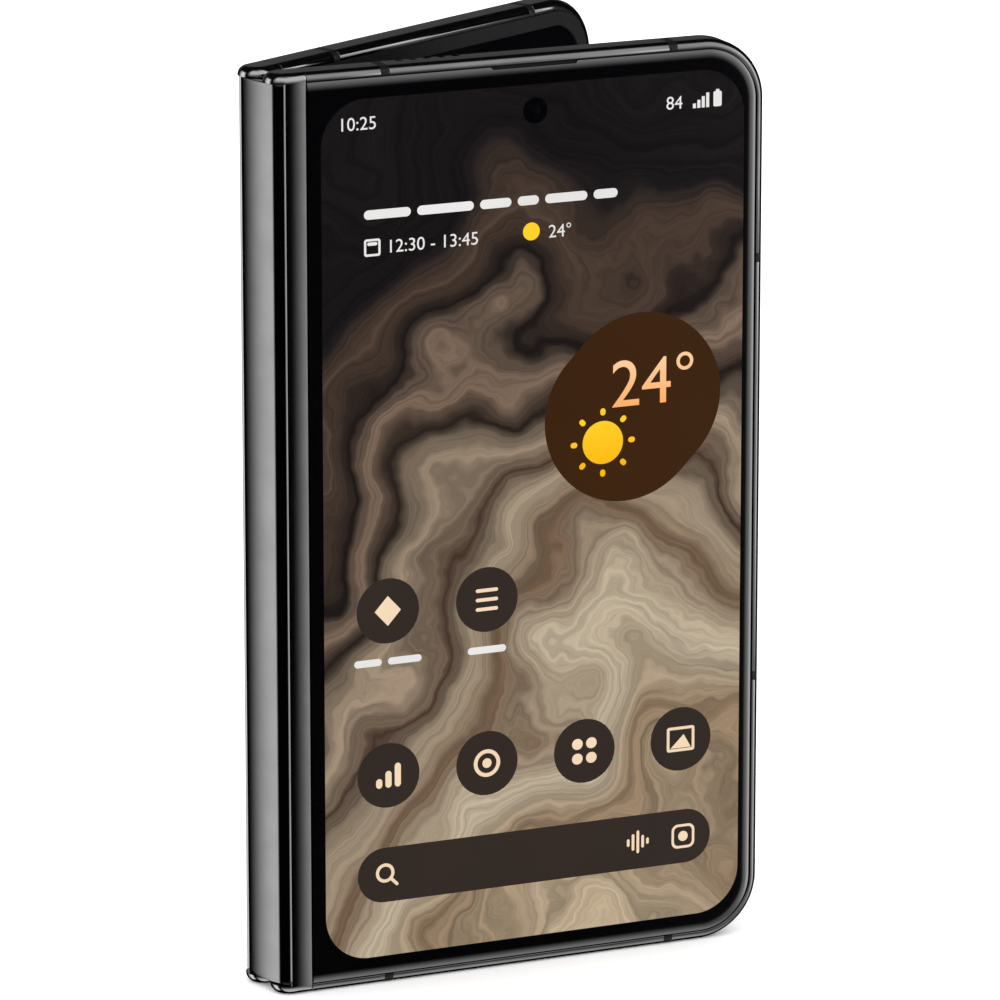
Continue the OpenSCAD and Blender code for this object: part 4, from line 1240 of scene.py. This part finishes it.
def make_glyphs(material):
    """Plain marks on the discs and the bar: tiles, steps, rings, a note and a hill."""
    glyphs = Shape(on_front)
    x, y = ICONS_X[0], DOCK_Y
    for i, rise in enumerate((1.5, 2.6, 3.7)):
        bar(glyphs, x - 2.0 + i * 1.5, x - 1.0 + i * 1.5, y - 1.9, y - 1.9 + rise, MARK_TOP)
    x = ICONS_X[1]
    flat_ring(glyphs, x, y, 1.55, 2.15, MARK_TOP)
    flat_mark(glyphs, arc(x, y, 0.75, 0, 345, 23), MARK_TOP)
    x = ICONS_X[2]
    tiles = bar_row("tiles", material, 2, 2.3, 1.75, 1.7, MARK_T)
    glyphs.take(tiles.laid([(x - 1.15, y + s * 1.15, MARK_TOP - MARK_T) for s in (-1, 1)]))
    x = ICONS_X[3]
    frame_mark(glyphs, x, y, 4.6, 3.9, 0.45)
    flat_mark(glyphs, [(x - 1.7, y - 1.4), (x + 1.7, y - 1.4), (x + 0.5, y + 0.7)], MARK_TOP)
    x, y = ICONS_X[0], GRID_Y
    flat_mark(glyphs, [(x, y - 2.3), (x + 2.1, y), (x, y + 2.3), (x - 2.1, y)], MARK_TOP)
    x = ICONS_X[1]
    lines = bar_row("note_lines", material, 3, 1.45, 0.55, 3.6, MARK_T)
    turned_lines = lines.laid([(0, 0, 0)])
    for v in turned_lines.vertices:
        u, w, z = v.co
        v.co = (x + w, y - 1.45 + u, z + MARK_TOP - MARK_T)
    glyphs.take(turned_lines)
    y = PILL_Y
    x = ICONS_X[0] - ICON_R + 4.6
    flat_ring(glyphs, x - 0.2, y + 0.3, 1.0, 1.5, MARK_TOP)
    slanted(glyphs, x + 0.9, y - 0.8, x + 1.7, y - 1.6, 0.5, MARK_TOP)
    x = ICONS_X[3] + ICON_R - 12.1
    for i, tall in enumerate((1.2, 2.6, 3.6, 2.0, 1.0)):
        bar(glyphs, x - 1.75 + i * 0.8, x - 1.3 + i * 0.8, y - tall / 2, y + tall / 2, MARK_TOP)
    x = ICONS_X[3] + ICON_R - 4.5
    frame_mark(glyphs, x, y, 3.8, 3.8, 0.4, 1.0)
    flat_mark(glyphs, arc(x, y, 0.8, 0, 345, 23), MARK_TOP)
    glyphs.made("icon_glyphs", material, "cover_half", slot="cover_screen")


def make_status(material, yellow):
    """Battery and signal marks, notice bars with plain digits, and label bars."""
    status = Shape(on_front)
    right = DISPLAY_X1 - 3.7
    level = HEIGHT - 10.05
    flat_mark(status, pill(right - 1.35, right, level, level + 2.3, 0.25, 4), MARK_TOP)
    flat_mark(status, block_ring(right - 0.95, right - 0.4, level + 2.3, level + 2.6), MARK_TOP)
    for i in range(4):
        x = right - 4.7 + i * 0.72
        flat_mark(status, block_ring(x, x + 0.5, level, level + 0.7 + i * 0.5), MARK_TOP)
    x = NOTICE_X
    for length in (7.4, 9.0, 5.0, 3.4, 6.8, 3.9):
        bar(status, x, x + length, 117.3, 118.7, MARK_TOP)
        x += length + 1.0
    frame_mark(status, NOTICE_X + 1.3, 113.1, 2.6, 2.6, 0.35)
    bar(status, NOTICE_X + 0.5, NOTICE_X + 2.1, 113.4, 113.9, MARK_TOP)
    for x, lengths in ((ICONS_X[0], (4.4, 5.4)), (ICONS_X[1], (6.2,))):
        start = x - (sum(lengths) + len(lengths) - 1) / 2
        for length in lengths:
            bar(status, start, start + length, GRID_Y - 8.3, GRID_Y - 7.2, MARK_TOP)
            start += length + 1
    status.made("status_marks", material, "cover_half", slot="cover_screen")
    spot = Shape(on_front)
    flat_mark(spot, arc(NOTICE_X + 26.6, 113.3, 1.35, 0, 348, 29), MARK_TOP)
    spot.made("notice_sun", yellow, "cover_half", slot="cover_screen")
    digits("10:25", 2.0, BORDER_HINGE + 3.2, HEIGHT - 9.0, MARK_TOP, "status_time", material)
    digits("84", 2.0, right - 9.0, level + 0.1, MARK_TOP, "status_charge", material)
    digits("12:30 - 13:45", 2.0, NOTICE_X + 4.1, 112.1, MARK_TOP, "notice_hours", material)
    digits("24°", 2.0, NOTICE_X + 29.4, 112.1, MARK_TOP, "notice_degrees", material)


def make_screen_marks():
    """All that the lit screen shows over its picture."""
    yellow = graded("sun_yellow", (255, 184, 10), (255, 210, 40), WIDGET_Y - 9, 8)
    icon_grounds(glowing("icon_ground", DISC_COLOUR))
    make_widget(glowing("widget_ground", (62, 36, 14)),
                graded("widget_digits", (255, 176, 104), (255, 214, 168), WIDGET_Y, 9), yellow)
    make_glyphs(glowing("icon_cream", CREAM))
    make_status(glowing("status_white", (240, 238, 236)), yellow)


def make_lens_window():
    """The cover camera behind its hole: a dark ring and a small lens."""
    lens = Shape(on_front)
    flat_ring(lens, CAMERA_X, CAMERA_Y, 0.95, 1.2, MARK_TOP)
    lens.made("cover_lens_ring", WINDOW, "cover_half", slot="lens_black")
    dome = Shape(on_front)
    rim = [(0.9, MARK_TOP - 0.02)] + [(0.9 * math.cos(math.radians(a)),
            MARK_TOP - 0.02 + 0.02 * math.sin(math.radians(a))) for a in range(10, 90, 10)]
    turned(dome, CAMERA_X, CAMERA_Y, rim + [(0.001, MARK_TOP)], 32)
    dome.made("cover_lens", LENS, "cover_half", slot="lens_black", sharp=80)


# Screws and the charging coil

BLOCK_L = 2
ARM_L = 5
STATION_L = 2 * BLOCK_L + ARM_L + 1.3
STATIONS = [HEIGHT * (0.12 + 0.345 * i) - STATION_L / 2 for i in range(3)]
ARM_START = BLOCK_L + 0.1
ARM_SCREW_X = 3.5
BLOCK_X = 1.9
SCREW_HEAD_R = 0.5
SCREW_R = 0.26
COIL_R = 21
COIL_HOLE_R = 10.5
COIL_WIRE = 0.36
COIL_TURNS = 24.0


def make_screws():
    """Cross-head screws in the hinge arms and in the spine's bearing blocks."""
    arm_screws = screw_set("arm_screw", STEEL, SCREW_HEAD_R, -0.68, -0.45, SCREW_R, -0.45, 0.8)
    places = [(ARM_SCREW_X, s + ARM_START + k * ARM_L, 0) for s in STATIONS for k in (0.25, 0.75)]
    for side, (place, body) in HALVES.items():
        Shape(place).take(arm_screws.laid(places)).made(
            side + "_arm_screws", STEEL, body, [side + "_screws"], "steel")
    block_screws = screw_set("block_screw", STEEL, SCREW_HEAD_R, -0.3, 0.0, SCREW_R, 0.0, 1.2)
    places = [(s + z, 0, 0) for s in STATIONS for z in (BLOCK_L / 2, STATION_L - BLOCK_L / 2)]
    seat = Shape(lambda up, side, out: on_spine(BLOCK_X - out, AXIS_GAP / 2 + side, up))
    seat.take(block_screws.laid(places)).made(
        "spine_block_screws", STEEL, "spine", ["spine_screws"], "steel")


def make_coil():
    """The charging coil's flat spiral, where the frame has its ring."""
    low_corner, high_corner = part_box("charging_coil")
    back = Matrix.Rotation(-HALF_OPEN, 3, "Z")
    middle = back @ (back @ ((low_corner + high_corner) / 2 / MM) - Vector((0, AXIS_GAP, 0)))
    winding = wound_coil("coil_winding", COPPER, COIL_TURNS, COIL_HOLE_R, COIL_R, COIL_WIRE)
    Shape(on_rear).take(winding.laid([(middle.x, middle.z, middle.y)])).made(
        "charging_winding", COPPER, "camera_half", ["charging_coil"], "coil_copper", 60)


# Finishes of the nodes that stay

KEPT = {
    "cover_seal": SEAL, "cover_display": SCREEN, "cover_camera": MODULE,
    "earpiece_grille": MESH_METAL, "top_speaker": MODULE, "front_battery": FOIL,
    "front_board": BOARD, "inner_display_front": INNER, "front_hinge_arms": STEEL,
    "front_shafts": STEEL, "front_gear": BRASS, 
    "sim_tray": POLISHED, "sim_reader": STEEL, "front_magnets": STEEL, "front_wing": STEEL,
    "spine_bridge": STEEL, "bearing_blocks": STEEL, "friction_springs": BRASS,
    "front_idler": BRASS, "rear_idler": BRASS, "hinge_flex": FILM, 
    "main_camera": MODULE, "wide_camera": MODULE, "tele_camera": MODULE,
    "rear_battery": FOIL, "main_board": BOARD,
    "board_shields": STEEL, "inner_display_rear": INNER, "inner_camera": LENS,
    "rear_hinge_arms": STEEL, "rear_shafts": STEEL, "rear_gear": BRASS, 
    "usb_port": STEEL, "bottom_speaker": MODULE, "haptic_motor": STEEL,
    "key_switches": STEEL, "rear_wing": STEEL, "rear_magnets": STEEL,
}


def finish_nodes():
    for name, material in KEPT.items():
        for slot in frame["nodes"][name].material_slots:
            slot.material = material


# Camera, floor and light

CAMERA_TURN = math.radians(23.359)
CAMERA_RISE = math.radians(14.695)
CAMERA_PLACE = Vector((-364.94, -924.68, 336.3)) * MM
CAMERA_LENS = 252


def make_camera():
    data = bpy.data.cameras.new("camera")
    data.lens = CAMERA_LENS
    data.sensor_width = 36
    data.clip_start = 0.05
    data.clip_end = 50
    camera = bpy.data.objects.new("camera", data)
    bpy.context.scene.collection.objects.link(camera)
    forward = Vector((math.sin(CAMERA_TURN) * math.cos(CAMERA_RISE),
                      math.cos(CAMERA_TURN) * math.cos(CAMERA_RISE), -math.sin(CAMERA_RISE)))
    camera.location = CAMERA_PLACE
    camera.rotation_mode = "QUATERNION"
    camera.rotation_quaternion = forward.to_track_quat("-Z", "Y")
    bpy.context.scene.camera = camera


def make_floor():
    mesh = bpy.data.meshes.new("floor")
    half = 4
    mesh.from_pydata([(-half, -half, 0), (half, -half, 0), (half, half, 0), (-half, half, 0)],
                     [], [(0, 1, 2, 3)])
    floor = bpy.data.objects.new("floor", mesh)
    bpy.context.scene.collection.objects.link(floor)
    s = Shader("floor_paint")
    s.set(Base_Color=(0.93, 0.93, 0.93, 1), Roughness=0.9, Specular_IOR_Level=0.1)
    mesh.materials.append(s.material)
    floor.visible_glossy = False


def window_of(s, value, start, full, fall, end):
    """1 between full and fall, easing to 0 at start and end."""
    rise = s.node("ShaderNodeMapRange", interpolation_type="SMOOTHSTEP")
    for socket, item in zip(rise.inputs, (value, start, full, 0.0, 1.0)):
        s.feed(socket, item)
    drop = s.node("ShaderNodeMapRange", interpolation_type="SMOOTHSTEP")
    for socket, item in zip(drop.inputs, (value, fall, end, 1.0, 0.0)):
        s.feed(socket, item)
    return s.math("MULTIPLY", rise.outputs[0], drop.outputs[0])


# Soft boxes that the polished parts mirror: strength, then azimuth and elevation windows
SOFT_BOXES = (
    (4.6, (119, 159, 163, 182), (-60, -45, 20, 35)),
    (1.9, (293.6, 316, 338, 347), (-40, -20, 20, 40)),
    (4.2, (314, 342, 343, 348), (-40, -20, 20, 40)),
    (0.14, (20, 40, 100, 118), (0, 8, 20, 26)),
    (3.1, (190, 215, 330, 345), (-8, 42, 50, 88)),
    (2.9, (190, 205, 345, 358), (-92, -91, -64, -20)),
)


def make_light():
    world = bpy.data.worlds.new("studio")
    world.use_nodes = True
    bpy.context.scene.world = world
    s = Shader.__new__(Shader)
    s.tree = world.node_tree
    s.tree.nodes.clear()
    place = s.node("ShaderNodeTexCoord").outputs["Generated"]
    parts = s.node("ShaderNodeSeparateXYZ")
    s.feed(parts.inputs[0], place)
    azimuth = s.math("DEGREES", s.math("ARCTAN2", parts.outputs["Y"], parts.outputs["X"]))
    azimuth = s.math("FLOORED_MODULO", azimuth, 360.0)
    elevation = s.math("DEGREES", s.math("ARCSINE", parts.outputs["Z"]))
    total = 0.004
    for strength, across, up in SOFT_BOXES:
        box = s.math("MULTIPLY", window_of(s, azimuth, *across), window_of(s, elevation, *up))
        total = s.math("ADD", total, s.math("MULTIPLY", box, strength))
    ray = s.node("ShaderNodeLightPath")
    plain = s.node("ShaderNodeBackground")
    plain.inputs["Color"].default_value = (1, 1, 1, 1)
    plain.inputs["Strength"].default_value = 1.75
    boxes = s.node("ShaderNodeBackground")
    s.feed(boxes.inputs["Strength"], total)
    mixed = s.node("ShaderNodeMixShader")
    s.feed(mixed.inputs[0], ray.outputs["Is Glossy Ray"])
    s.tree.links.new(plain.outputs[0], mixed.inputs[1])
    s.tree.links.new(boxes.outputs[0], mixed.inputs[2])
    out = s.node("ShaderNodeOutputWorld")
    s.tree.links.new(mixed.outputs[0], out.inputs["Surface"])
    bpy.context.scene.view_settings.view_transform = "Standard"


make_camera()
make_floor()
make_light()
for half in HALVES:
    make_edges(half)
    make_rail(half)
    make_bezel(half)
make_spine()
make_cover_glass()
make_back_glass()
fold_strips()
make_island()
make_windows()
make_keys()
make_screen_marks()
make_lens_window()
make_screws()
make_coil()
finish_nodes()
